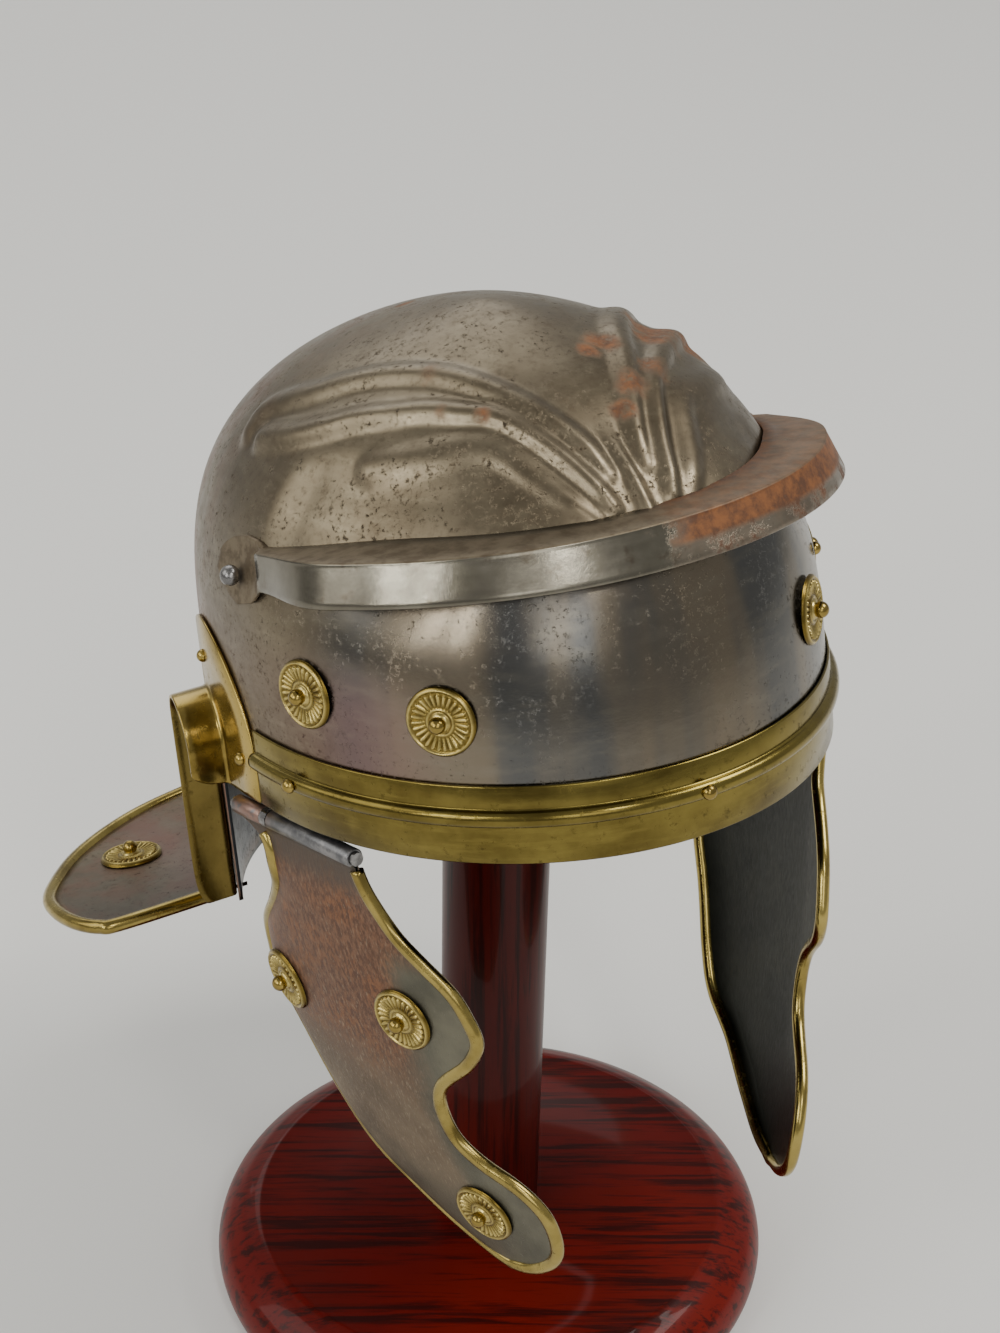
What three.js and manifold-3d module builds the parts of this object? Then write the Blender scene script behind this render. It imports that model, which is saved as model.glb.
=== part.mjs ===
// Roman legionary helmet of the imperial kind, resting on a plain turned display stand.
// Millimetres, +Z up. The stand's foot is centred on the origin, and the helmet faces -Y.
// The wearer's right side is -X.

import * as THREE from 'three';
import * as BufferGeometryUtils from 'three/addons/utils/BufferGeometryUtils.js';
import Module from 'manifold-3d';

const wasm = await Module();
wasm.setup();

// Gap between pieces that touch, between a pin and the knuckle that turns on it, and under an edging
const seatGap = 0.3;
const pinGap = 0.3;
const edgingGap = 0.35;

// Stand
const standFootRadius = 100;
const standRimRadius = 106;
const standTopRadius = 88.5;
const standBaseHeight = 28;
const standRimHeight = 11;
const postTopDiameter = 41;
const postFootDiameter = 37.6;
const postLeanX = 6.1;
const postLeanY = -3.5;

// Where the helmet hangs on the stand: middle of the bowl's rim, and the tilt that lifts the brow
const helmetShiftX = 9;
const helmetShiftY = -9;
const helmetRimHeight = 252;
const helmetTiltDegrees = -10.7;

// Bowl: half width, reach to the front and to the rear, height over the rim, upright part of the wall
const bowlHalfWidth = 101.3;
const bowlFrontLength = 118;
const bowlRearLength = 137;
const bowlHeight = 152;
const bowlUprightHeight = 27;
const bowlWall = 1.6;

// Embossed eyebrows
const browRelief = 3.4;
const browRidgeHalfWidth = 7.2;
const browHollowDepth = 3.5;
const browHollowBreadth = 34;
const templeHollowDepth = 2.5;

// Ear opening: its middle line, half width, the height where its round head springs and its front foot
const earCentreY = 43.75;
const earHalfWidth = 14.75;
const earSpringZ = 10;
const earFootZ = -4;

// Ear guard: sheet, plate round the opening, flange that stands out from it
const earSheet = 1.2;
const earPlateCentreY = 39;
const earPlateHalfWidth = 41;
const earPlateSpringZ = 11;
const earFlangeReach = 16.5;
const earFlangeRearToe = 14;
const earRivetRise = 2;
const earRivetShift = 3;

// Neck guard, and the front edge of the nape wall that it hangs from
const napeDrop = 68;
const napeEdgeRun = 2.5;
const neckSideReach = 46.7;
const neckHalfBreadth = bowlHalfWidth + neckSideReach;
const neckReach = 126;
const neckFrontY = 72;
const neckSlopeDegrees = 5.4;
const neckSheet = 1.6;
const neckEdgingRadius = 2.7;

// Brass band round the brow
const bandSheet = 1;
const bandHeight = 27;
const bandBeadZ = 16;
const bandBeadHalfHeight = 2.9;
const bandBeadProud = 2.8;

// Brow guard: bent strip with a flat top and a face that hangs from its outer ridge
const guardSheet = 1.4;
const guardSideRoom = 3.7;
const guardHalfWidth = bowlHalfWidth + guardSideRoom;
const guardFrontInset = 12;
const guardReach = bowlFrontLength - guardFrontInset;
const guardCentreY = -7.7;
const guardFaceHeight = 13.5;
const guardFlare = 5.2;
const guardEndZ = 0.599 * bowlHeight;
const guardRise = 0.094 * bowlHeight;
const guardTabLength = 31;
const guardTabHeight = 23;
const guardFoldDegrees = 86;
const guardTuck = 5.6;
const guardTuckDegrees = 24;

// Cheek guard hinges
const hingeAxisZ = -6;
const hingeFrontInset = 9.7;
const hingeRearRoom = 2.5;
const hingeFrontX = bowlHalfWidth - hingeFrontInset;
const hingeFrontY = -49.2;
const hingeRearX = bowlHalfWidth + hingeRearRoom;
const hingeRearY = 15;
const knuckleRadius = 3.3;
const pinRadius = 1.6;
const pinHeadRadius = 2.4;
const pinHeadLength = 1.2;
const leafSheet = 1.2;
const leafWidth = 12;
const leafHeight = 20;
const bowlKnuckleShare = 0.73;
const bowlKnuckleLength = 3.4;

// Cheek guards
const cheekDrop = 169;
const cheekBreadth = 120;
const cheekSheet = 1.4;
const cheekEdgingRadius = 2.5;
const cheekSideRoom = 2;
const cheekHalfSpread = bowlHalfWidth + cheekSideRoom;
const cheekFrontDepth = 147;
const cheekCrownY = 19.8;
const cheekRearTurn = 0.018;
const cheekTongueDrop = 15;

// Rosettes and rivets
const rosetteDiameter = 23.5;
const rosetteRim = 1.5;
const rosetteBossHeight = 4.2;
const rosetteBossDiameter = 8.6;
const rosetteRivetDiameter = 5.6;
const bandRivetDiameter = 5.2;
const earRivetDiameter = 4.6;
const guardRivetDiameter = 7;

// Materials
const paint = (color, metalness, roughness) => new THREE.MeshStandardMaterial({ color, metalness, roughness });
const agedSteel = paint(0x6f6760, 0.9, 0.42);
const rustySteel = paint(0x7b5a4c, 0.7, 0.6);
const darkSteel = paint(0x4c4a4b, 0.9, 0.4);
const brass = paint(0x9c8034, 0.95, 0.34);
const lacquer = paint(0x3f0d0a, 0.1, 0.18);

// Helpers for closed meshes

function weld(geometry) {
  const bare = geometry.index ? geometry.clone() : geometry;
  bare.deleteAttribute('normal');
  bare.deleteAttribute('uv');
  return BufferGeometryUtils.mergeVertices(bare, 1e-4);
}

function signedVolume(geometry) {
  const p = geometry.attributes.position;
  const index = geometry.index.array;
  const [a, b, c] = [new THREE.Vector3(), new THREE.Vector3(), new THREE.Vector3()];
  let sum = 0;
  for (let i = 0; i < index.length; i += 3) {
    a.fromBufferAttribute(p, index[i]);
    b.fromBufferAttribute(p, index[i + 1]);
    c.fromBufferAttribute(p, index[i + 2]);
    sum += a.dot(b.cross(c)) / 6;
  }
  return sum;
}

// Welds the vertices and turns the faces outward.
function tidy(geometry) {
  const welded = weld(geometry);
  if (signedVolume(welded) < 0) {
    const index = welded.index.array;
    for (let i = 0; i < index.length; i += 3) {
      [index[i + 1], index[i + 2]] = [index[i + 2], index[i + 1]];
    }
  }
  return welded;
}

function toSolid(geometry) {
  const shape = tidy(geometry);
  const mesh = new wasm.Mesh({
    numProp: 3,
    vertProperties: new Float32Array(shape.attributes.position.array),
    triVerts: new Uint32Array(shape.index.array),
  });
  return new wasm.Manifold(mesh);
}

function toGeometry(solid) {
  const mesh = solid.getMesh();
  const geometry = new THREE.BufferGeometry();
  geometry.setAttribute('position', new THREE.BufferAttribute(new Float32Array(mesh.vertProperties), 3));
  geometry.setIndex(new THREE.BufferAttribute(new Uint32Array(mesh.triVerts), 1));
  return geometry;
}

// Triangles over a flat or nearly flat loop of points.
function capTriangles(loop) {
  const normal = new THREE.Vector3();
  const middle = new THREE.Vector3();
  loop.forEach((point, i) => {
    const next = loop[(i + 1) % loop.length];
    normal.add(new THREE.Vector3().crossVectors(point, next));
    middle.addScaledVector(point, 1 / loop.length);
  });
  normal.normalize();
  const across = new THREE.Vector3(1, 0, 0);
  if (Math.abs(normal.x) > 0.8) {
    across.set(0, 1, 0);
  }
  across.addScaledVector(normal, -across.dot(normal)).normalize();
  const along = new THREE.Vector3().crossVectors(normal, across);
  const flat = loop.map((point) => {
    const away = point.clone().sub(middle);
    return new THREE.Vector2(away.dot(across), away.dot(along));
  });
  return THREE.ShapeUtils.triangulateShape(flat, []);
}

// Closed body through a row of closed loops that all have the same number of points.
// The row either closes on itself or is capped at both ends.
function loft(loops, closesOnItself = false) {
  const count = loops[0].length;
  const positions = loops.flat().flatMap((point) => [point.x, point.y, point.z]);
  const index = [];
  const spans = closesOnItself ? loops.length : loops.length - 1;
  for (let i = 0; i < spans; i += 1) {
    const here = i * count;
    const there = ((i + 1) % loops.length) * count;
    for (let k = 0; k < count; k += 1) {
      const next = (k + 1) % count;
      index.push(here + k, there + k, there + next);
      index.push(here + k, there + next, here + next);
    }
  }
  if (!closesOnItself) {
    for (const [a, b, c] of capTriangles(loops[0])) {
      index.push(a, b, c);
    }
    const last = (loops.length - 1) * count;
    for (const [a, b, c] of capTriangles(loops[loops.length - 1])) {
      index.push(last + a, last + c, last + b);
    }
  }
  const geometry = new THREE.BufferGeometry();
  geometry.setAttribute('position', new THREE.Float32BufferAttribute(positions, 3));
  geometry.setIndex(index);
  return geometry;
}

// Outline in Y and Z, pushed through the whole width of the helmet along X.
function sidewaysSlab(outline, fromX, toX) {
  const shape = new THREE.Shape(outline.map(([y, z]) => new THREE.Vector2(y, z)));
  const slab = new THREE.ExtrudeGeometry(shape, { depth: toX - fromX, bevelEnabled: false });
  const turn = new THREE.Matrix4().makeBasis(
    new THREE.Vector3(0, 1, 0),
    new THREE.Vector3(0, 0, 1),
    new THREE.Vector3(1, 0, 0),
  );
  return slab.applyMatrix4(turn).translate(fromX, 0, 0);
}

// Round bar along a smooth line, with flat ends.
function roundBar(points, radius, steps, sides) {
  const section = new THREE.Shape();
  for (let k = 0; k < sides; k += 1) {
    const angle = (2 * Math.PI * (k + 0.5)) / sides;
    const corner = [radius * Math.cos(angle), radius * Math.sin(angle)];
    if (k === 0) {
      section.moveTo(...corner);
    } else {
      section.lineTo(...corner);
    }
  }
  section.closePath();
  const path = new THREE.CatmullRomCurve3(points, false, 'centripetal');
  return new THREE.ExtrudeGeometry(section, { steps, extrudePath: path, bevelEnabled: false });
}

// Room for a round bar, larger by the edging's gap all round and at both ends
function edgingRoom(points, radius, steps, sides) {
  const last = points.length - 1;
  const ends = [[points[0], points[1]], [points[last], points[last - 1]]].map(([end, near]) => {
    const out = end.clone().sub(near).normalize();
    return toSolid(rodBetween(end, end.clone().addScaledVector(out, edgingGap), radius + edgingGap, sides));
  });
  return toSolid(roundBar(points, radius + edgingGap, steps, sides)).add(ends[0]).add(ends[1]);
}

// Cylinder between two points.
function rodBetween(from, to, radius, sides) {
  const along = new THREE.Vector3().subVectors(to, from);
  const rod = new THREE.CylinderGeometry(radius, radius, along.length(), sides);
  const turn = new THREE.Quaternion().setFromUnitVectors(
    new THREE.Vector3(0, 1, 0),
    along.clone().normalize(),
  );
  rod.applyQuaternion(turn);
  const middle = from.clone().add(to).multiplyScalar(0.5);
  return rod.translate(middle.x, middle.y, middle.z);
}

// Bowl surface, swelled outward by grow

// How far the plan has drawn in at a height over the rim, as a share of its size at the rim.
function drawIn(z, grow) {
  const share = (z - bowlUprightHeight) / (bowlHeight + grow - bowlUprightHeight);
  if (share <= 0) {
    return 1;
  }
  return (1 - Math.min(share, 1) ** 3.52) ** (1 / 1.39);
}

// Point of the surface at an angle from the front, positive toward the wearer's left.
function bowlPoint(angle, z, grow) {
  const reach = Math.cos(angle) > 0 ? bowlFrontLength : bowlRearLength;
  const draw = drawIn(z, grow);
  return new THREE.Vector3(
    (bowlHalfWidth + grow) * draw * Math.sin(angle),
    -(reach + grow) * draw * Math.cos(angle),
    z,
  );
}

// Angle at which the surface passes a given Y at a given height.
function angleAtY(y, z, grow) {
  const reach = y < 0 ? bowlFrontLength : bowlRearLength;
  return Math.acos(-y / ((reach + grow) * drawIn(z, grow)));
}

// Eyebrow lines on the wearer's left, as shares of the bowl's half width, front length and height.
const upperBrowLine = [
  [0.725, 0.262, 0.775],
  [0.67, 0.271, 0.808],
  [0.625, 0.182, 0.84],
  [0.564, 0.066, 0.874],
  [0.461, -0.066, 0.908],
  [0.358, -0.21, 0.924],
  [0.295, -0.307, 0.921],
  [0.212, -0.462, 0.893],
  [0.145, -0.585, 0.858],
  [0.098, -0.68, 0.82],
  [0.075, -0.765, 0.773],
];
const lowerBrowLine = [
  [0.75, 0.161, 0.777],
  [0.717, 0.03, 0.803],
  [0.656, -0.082, 0.832],
  [0.592, -0.165, 0.853],
  [0.521, -0.256, 0.868],
  [0.442, -0.333, 0.878],
  [0.37, -0.414, 0.877],
  [0.294, -0.485, 0.871],
  [0.235, -0.579, 0.848],
  [0.172, -0.702, 0.8],
  [0.132, -0.788, 0.75],
  [0.109, -0.839, 0.714],
];

function toBrowLine(shares) {
  return shares.map(([x, y, z]) => new THREE.Vector3(
    x * bowlHalfWidth,
    y * bowlFrontLength,
    z * bowlHeight,
  ));
}

const browLines = [toBrowLine(upperBrowLine), toBrowLine(lowerBrowLine)];

function distanceToLine(point, line) {
  const near = new THREE.Vector3();
  let least = Infinity;
  for (let i = 1; i < line.length; i += 1) {
    new THREE.Line3(line[i - 1], line[i]).closestPointToPoint(point, true, near);
    least = Math.min(least, near.distanceTo(point));
  }
  return least;
}

// How far the bowl is sunk over the brow guard at a point of it.
function browHollow(point) {
  const middle = browLines[1][7];
  const below = (middle.z - point.z) / browHollowBreadth;
  const ahead = (point.y + 0.2 * bowlFrontLength) / (0.8 * bowlFrontLength);
  const sunk = THREE.MathUtils.smoothstep(below, -0.3, 0.4) * (1 - THREE.MathUtils.smoothstep(below, 0.8, 3.1));
  const faced = 1 - THREE.MathUtils.smoothstep(ahead, -0.6, 0.1);
  const temple = THREE.MathUtils.smoothstep(below, 0.25, 0.6) * (1 - THREE.MathUtils.smoothstep(below, 1.07, 2.07));
  const beside = THREE.MathUtils.smoothstep(ahead, -0.76, -0.4) * (1 - THREE.MathUtils.smoothstep(ahead, 0, 0.17));
  return browHollowDepth * sunk * faced + templeHollowDepth * temple * beside;
}

// Point of the bowl's outside, with the sunk brow, where a rosette or rivet sits.
function bowlSkin(angle, z) {
  const point = bowlPoint(angle, z, 0);
  return point.addScaledVector(bowlNormal(angle, z), -browHollow(point));
}

// How far the eyebrows stand out of the bowl at a point of it.
function browHeight(point) {
  const mirrored = new THREE.Vector3(Math.abs(point.x), point.y, point.z);
  let height = 0;
  for (const line of browLines) {
    const share = distanceToLine(mirrored, line) / browRidgeHalfWidth;
    if (share < 1) {
      height += browRelief * (1 - share * share) ** 2;
    }
  }
  return height;
}

// Solid under the bowl's surface, down to a given height below the rim.
function bowlSolid(grow, floorZ, sides, rings, eyebrows) {
  const top = bowlHeight + grow;
  const heights = [floorZ, 0, bowlUprightHeight];
  for (let i = 1; i < rings; i += 1) {
    const share = Math.sin((i / rings) * (Math.PI / 2)) ** 0.62;
    heights.push(bowlUprightHeight + (top - bowlUprightHeight) * share);
  }
  const loops = heights.map((z) => {
    const loop = [];
    for (let k = 0; k < sides; k += 1) {
      const turn = (2 * k) / sides - 1;
      const point = bowlPoint(Math.PI * turn * (0.72 + 0.28 * turn * turn), z, grow);
      const out = new THREE.Vector3(
        point.x / bowlHalfWidth ** 2,
        point.y / bowlFrontLength ** 2,
        Math.max(z - bowlUprightHeight, 0) / bowlHeight ** 2,
      ).normalize();
      const raised = eyebrows ? browHeight(point) : 0;
      point.addScaledVector(out, raised - browHollow(point));
      loop.push(point);
    }
    return loop;
  });
  const crown = new THREE.Vector3(0, 0, top);
  loops.push(loops[0].map(() => crown.clone()));
  return toSolid(loft(loops));
}

// Ear opening: from the foot of its front leg over the round head and down the edge of the nape

function archLine(centreY, halfWidth, springZ, frontFootZ) {
  const line = [[centreY - halfWidth, frontFootZ]];
  const steps = 14;
  for (let i = 0; i <= steps; i += 1) {
    const angle = Math.PI * (1 - i / steps);
    line.push([centreY + halfWidth * Math.cos(angle), springZ + halfWidth * Math.sin(angle)]);
  }
  line.push([centreY + halfWidth + napeEdgeRun, -napeDrop]);
  return line;
}

const earLine = (grow) => archLine(earCentreY, earHalfWidth + grow, earSpringZ, earFootZ);

const earPlateLine = (grow, frontFootZ) => (
  archLine(earPlateCentreY, earPlateHalfWidth + grow, earPlateSpringZ, frontFootZ)
);

const helmetWidthSpan = bowlHalfWidth + earFlangeReach + neckHalfBreadth;

// Neck guard plate: outline of the wearer's left half, as shares of half breadth and reach
const neckOutline = [
  [0.56, 0],
  [0.9, 0.0],
  [0.955, 0.03],
  [0.99, 0.12],
  [1, 0.24],
  [0.985, 0.36],
  [0.93, 0.48],
  [0.83, 0.635],
  [0.7, 0.77],
  [0.56, 0.87],
  [0.4, 0.935],
  [0.2, 0.985],
  [0, 1],
];

const neckSlope = THREE.MathUtils.degToRad(neckSlopeDegrees);

// Lays a point of the neck guard's plan on its sloping plane, lifted by a height.
function onNeckPlane(x, run, lift) {
  return new THREE.Vector3(
    x,
    neckFrontY + run * Math.cos(neckSlope) + lift * Math.sin(neckSlope),
    -napeDrop - run * Math.sin(neckSlope) + lift * Math.cos(neckSlope),
  );
}

function neckPlate() {
  const inset = neckEdgingRadius;
  const half = neckOutline.map(([x, y]) => [
    x * (neckHalfBreadth - inset),
    inset + y * (neckReach - 2 * inset),
  ]);
  const around = [...half, ...half.slice(0, -1).reverse().map(([x, y]) => [-x, y])];
  const loops = [0, neckSheet].map((lift) => around.map(([x, y]) => onNeckPlane(x, y, lift)));
  return toSolid(loft(loops));
}

// Front of the neck guard's edging, where it starts beside the nape wall
function neckEdgingLine() {
  const half = neckOutline.slice(1).map(([x, y]) => onNeckPlane(
    x * (neckHalfBreadth - neckEdgingRadius),
    neckEdgingRadius + y * (neckReach - 2 * neckEdgingRadius),
    neckSheet / 2,
  ));
  const napeEdge = bowlPoint(angleAtY(neckFrontY, 0, 0), 0, neckEdgingRadius + 1);
  const start = onNeckPlane(napeEdge.x, neckEdgingRadius, neckSheet / 2);
  const left = [start, ...half];
  return [...left, ...left.slice(0, -1).reverse().map((p) => new THREE.Vector3(-p.x, p.y, p.z))];
}

function makeBowl() {
  const deep = -napeDrop - neckReach;
  const outer = bowlSolid(0, deep, 64, 15, true);
  const inner = bowlSolid(-bowlWall, deep - 1, 36, 9, false);
  const frontY = -2 * bowlFrontLength;
  const opening = toSolid(sidewaysSlab(
    [
      [frontY, 0],
      [earPlateCentreY - earPlateHalfWidth, 0],
      ...earLine(0),
      [earCentreY + earHalfWidth + napeEdgeRun, 2 * deep],
      [frontY, 2 * deep],
    ],
    -helmetWidthSpan,
    helmetWidthSpan,
  ));
  const rearY = 2 * bowlRearLength;
  const underNeck = toSolid(sidewaysSlab(
    [
      [frontY, onNeckPlane(0, frontY - neckFrontY, neckSheet / 2).z],
      [rearY, onNeckPlane(0, rearY - neckFrontY, neckSheet / 2).z],
      [rearY, 2 * deep],
      [frontY, 2 * deep],
    ],
    -helmetWidthSpan,
    helmetWidthSpan,
  ));
  const wall = outer.subtract(opening).subtract(underNeck);
  const edgingSpace = edgingRoom(neckEdgingLine(), neckEdgingRadius, 34, 5);
  const whole = wall.add(neckPlate()).subtract(inner).subtract(edgingSpace);
  const below = (topZ) => toSolid(sidewaysSlab(
    [[earCentreY, topZ], [rearY, topZ], [rearY, 2 * deep], [earCentreY, 2 * deep]],
    -helmetWidthSpan,
    helmetWidthSpan,
  ));
  return [whole.subtract(below(seatGap / 2)), whole.intersect(below(-seatGap / 2))];
}

// Band round the brow, ending against the ear guards' plates
function makeBand() {
  const face = seatGap + bandSheet;
  const profile = [
    [seatGap, 0],
    [face, 0],
    [face, bandBeadZ - bandBeadHalfHeight],
    [face + bandBeadProud * 0.72, bandBeadZ - bandBeadHalfHeight * 0.62],
    [face + bandBeadProud, bandBeadZ],
    [face + bandBeadProud * 0.72, bandBeadZ + bandBeadHalfHeight * 0.62],
    [face, bandBeadZ + bandBeadHalfHeight],
    [face, bandHeight],
    [seatGap, bandHeight],
  ];
  const steps = 40;
  const reach = THREE.MathUtils.degToRad(100);
  const loops = [];
  for (let i = 0; i <= steps; i += 1) {
    const angle = reach * ((2 * i) / steps - 1);
    loops.push(profile.map(([grow, z]) => bowlPoint(angle, z, grow)));
  }
  const earPlates = toSolid(sidewaysSlab(
    [
      ...earPlateLine(seatGap, -bandHeight),
      [2 * bowlRearLength, -napeDrop],
      [2 * bowlRearLength, -2 * napeDrop],
      [earPlateCentreY - earPlateHalfWidth - seatGap, -2 * napeDrop],
    ],
    -helmetWidthSpan,
    helmetWidthSpan,
  ));
  return toSolid(loft(loops)).subtract(earPlates);
}

// End tabs of the brow guard: how far back from the fold, how proud of the bowl, top edge over
// the strip's end, and height, the last two as shares of the tab's height.
const guardTab = [
  [0.08, 0.4, 0.06, 0.72],
  [0.25, 0, 0.12, 0.9],
  [0.45, 0, 0.11, 0.98],
  [0.75, 0, 0, 0.72],
  [1, 0, -0.25, 0.3],
];

function onTab(run, z, proud) {
  const foldY = guardCentreY - guardReach * Math.cos(THREE.MathUtils.degToRad(guardFoldDegrees));
  return bowlPoint(angleAtY(foldY + run * guardTabLength, z, 0), z, seatGap + guardSheet + proud);
}

// Brow guard
function makeBrowGuard() {
  const stationCount = 20;
  const fold = THREE.MathUtils.degToRad(guardFoldDegrees);
  const stations = [];
  for (let i = 0; i <= stationCount; i += 1) {
    const angle = fold * ((2 * i) / stationCount - 1);
    const share = Math.cos(angle);
    const side = Math.sin(angle);
    const tucked = THREE.MathUtils.smoothstep(
      Math.abs(THREE.MathUtils.radToDeg(angle)),
      guardFoldDegrees - guardTuckDegrees,
      guardFoldDegrees,
    );
    stations.push({
      x: (guardHalfWidth * Math.abs(side) ** 0.95 - guardTuck * tucked) * Math.sign(side),
      y: guardCentreY - guardReach * share ** 0.95,
      flare: 1 + (guardFlare * (1 - tucked)) / guardReach,
      top: guardEndZ + guardRise * share * (1.6 - 0.6 * share),
      drop: guardFaceHeight,
    });
  }
  for (const side of [-1, 1]) {
    const tab = guardTab.map(([run, proud, rise, height]) => {
      const top = guardEndZ + rise * guardTabHeight;
      const drop = height * guardTabHeight;
      const upper = onTab(run, top, proud);
      return { x: side * upper.x, y: upper.y, flare: onTab(run, top - drop, proud).x / upper.x, top, drop };
    });
    if (side < 0) {
      stations.unshift(...tab.reverse());
    } else {
      stations.push(...tab);
    }
  }
  const loops = stations.map(({ x, y, flare, top, drop }) => {
    const deepShare = 0.72;
    const inward = 1 - guardSheet / guardReach;
    const at = (share, z) => new THREE.Vector3(x * share, guardCentreY + (y - guardCentreY) * share, z);
    return [
      at(deepShare, top),
      at(1, top),
      at(flare, top - drop),
      at(flare * inward, top - drop),
      at(inward, top - guardSheet),
      at(deepShare, top - guardSheet),
    ];
  });
  const bowlSpace = bowlSolid(seatGap, -bowlUprightHeight, 64, 15, true);
  return toSolid(loft(loops)).subtract(bowlSpace);
}

// Ear guard: plate on the bowl, and the flange standing out along the opening
function makeEarGuard(side) {
  const bandSpace = seatGap;
  const plateShell = bowlSolid(bandSpace + earSheet, -2 * napeDrop, 40, 8, false);
  const flangeShell = bowlSolid(bandSpace + earFlangeReach, -2 * napeDrop, 40, 8, false);
  const under = bowlSolid(bandSpace, -3 * napeDrop, 64, 15, false);
  const fromX = side < 0 ? -helmetWidthSpan : 0;
  const toX = side < 0 ? 0 : helmetWidthSpan;
  const opening = earLine(0).reverse();
  const plate = toSolid(sidewaysSlab([...earPlateLine(0, 0), ...opening], fromX, toX));
  const flange = toSolid(sidewaysSlab([...earLine(earSheet), ...opening], fromX, toX));
  const neckTop = onNeckPlane(0, 0, neckSheet + seatGap).z;
  const floor = toSolid(sidewaysSlab(
    [
      [-bowlFrontLength, onNeckPlane(0, -bowlFrontLength - neckFrontY, neckSheet + seatGap).z],
      [bowlRearLength, onNeckPlane(0, bowlRearLength - neckFrontY, neckSheet + seatGap).z],
      [bowlRearLength, neckTop - napeDrop],
      [-bowlFrontLength, neckTop - napeDrop],
    ],
    -helmetWidthSpan,
    helmetWidthSpan,
  ));
  const toe = new THREE.Shape([
    new THREE.Vector2(bowlHalfWidth, -bandHeight),
    new THREE.Vector2(bowlHalfWidth, earFootZ),
    new THREE.Vector2(bowlHalfWidth + 0.6 * earFlangeReach, earFootZ + 0.2 * earFlangeReach),
    new THREE.Vector2(bowlHalfWidth + earFlangeReach, earFootZ + 0.47 * earFlangeReach),
    new THREE.Vector2(bowlHalfWidth + 2 * earFlangeReach, earFootZ + 1.3 * earFlangeReach),
    new THREE.Vector2(bowlHalfWidth + 2 * earFlangeReach, -bandHeight),
  ]);
  const toeCut = new THREE.ExtrudeGeometry(toe, { depth: earCentreY + bowlFrontLength, bevelEnabled: false });
  toeCut.rotateX(Math.PI / 2).translate(0, earCentreY, 0);
  const heelZ = onNeckPlane(0, 0, neckSheet + seatGap).z;
  const heel = new THREE.Shape([
    new THREE.Vector2(0, heelZ - 2 * earFlangeRearToe),
    new THREE.Vector2(bowlHalfWidth - 0.6 * earFlangeReach, heelZ),
    new THREE.Vector2(bowlHalfWidth, heelZ + 0.4 * earFlangeRearToe),
    new THREE.Vector2(bowlHalfWidth + 0.25 * earFlangeReach, heelZ + 0.85 * earFlangeRearToe),
    new THREE.Vector2(bowlHalfWidth + 2 * earFlangeReach, heelZ + 5 * earFlangeRearToe),
    new THREE.Vector2(bowlHalfWidth + 2 * earFlangeReach, heelZ - 2 * earFlangeRearToe),
  ]);
  const heelCut = new THREE.ExtrudeGeometry(heel, { depth: bowlRearLength, bevelEnabled: false });
  heelCut.rotateX(Math.PI / 2).translate(0, earCentreY + bowlRearLength, 0);
  if (side < 0) {
    toeCut.scale(-1, 1, 1);
    heelCut.scale(-1, 1, 1);
  }
  const platePiece = plateShell.subtract(under).intersect(plate);
  const flangePiece = flangeShell.subtract(under).intersect(flange)
    .subtract(toSolid(toeCut)).subtract(toSolid(heelCut));
  return platePiece.add(flangePiece).subtract(floor);
}

// Cheek guard outline, as shares of breadth and of drop below the hinge line.
// Front edge from the hinge down to the lowest point, then the rear edge from the hinge down.
const cheekFrontEdge = [
  [-0.425, 0.009],
  [-0.452, 0.09],
  [-0.483, 0.152],
  [-0.557, 0.211],
  [-0.623, 0.266],
  [-0.655, 0.33],
  [-0.663, 0.389],
  [-0.614, 0.451],
  [-0.538, 0.5],
  [-0.496, 0.534],
  [-0.477, 0.582],
  [-0.488, 0.645],
  [-0.543, 0.688],
  [-0.627, 0.726],
  [-0.682, 0.773],
  [-0.703, 0.829],
  [-0.691, 0.901],
  [-0.647, 0.951],
  [-0.566, 0.988],
  [-0.478, 1],
];
const cheekRearEdge = [
  [0.125, 0.0],
  [0.12, 0.018],
  [0.041, 0.04],
  [0.008, 0.069],
  [0.03, 0.141],
  [0.15, 0.236],
  [0.238, 0.302],
  [0.277, 0.376],
  [0.297, 0.464],
  [0.229, 0.585],
  [0.155, 0.72],
  [0.073, 0.805],
  [-0.083, 0.873],
  [-0.23, 0.937],
  [-0.363, 0.981],
  [-0.478, 1],
];

function smoothOutline(shares) {
  const points = shares.map(([y, z]) => new THREE.Vector3(y * cheekBreadth, z * cheekDrop, 0));
  return new THREE.CatmullRomCurve3(points, false, 'centripetal').getPoints(120);
}

const cheekFront = smoothOutline(cheekFrontEdge);
const cheekRear = smoothOutline(cheekRearEdge);

// Y of an edge at a drop below the hinge line.
function edgeAt(edge, drop) {
  for (let i = 1; i < edge.length; i += 1) {
    if (edge[i].y >= drop) {
      const span = Math.max(edge[i].y - edge[i - 1].y, 1e-6);
      return THREE.MathUtils.lerp(edge[i - 1].x, edge[i].x, (drop - edge[i - 1].y) / span);
    }
  }
  return edge[edge.length - 1].x;
}

function hingeXAt(y) {
  const share = (y - hingeFrontY) / (hingeRearY - hingeFrontY);
  return THREE.MathUtils.lerp(hingeFrontX, hingeRearX, share);
}

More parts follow.
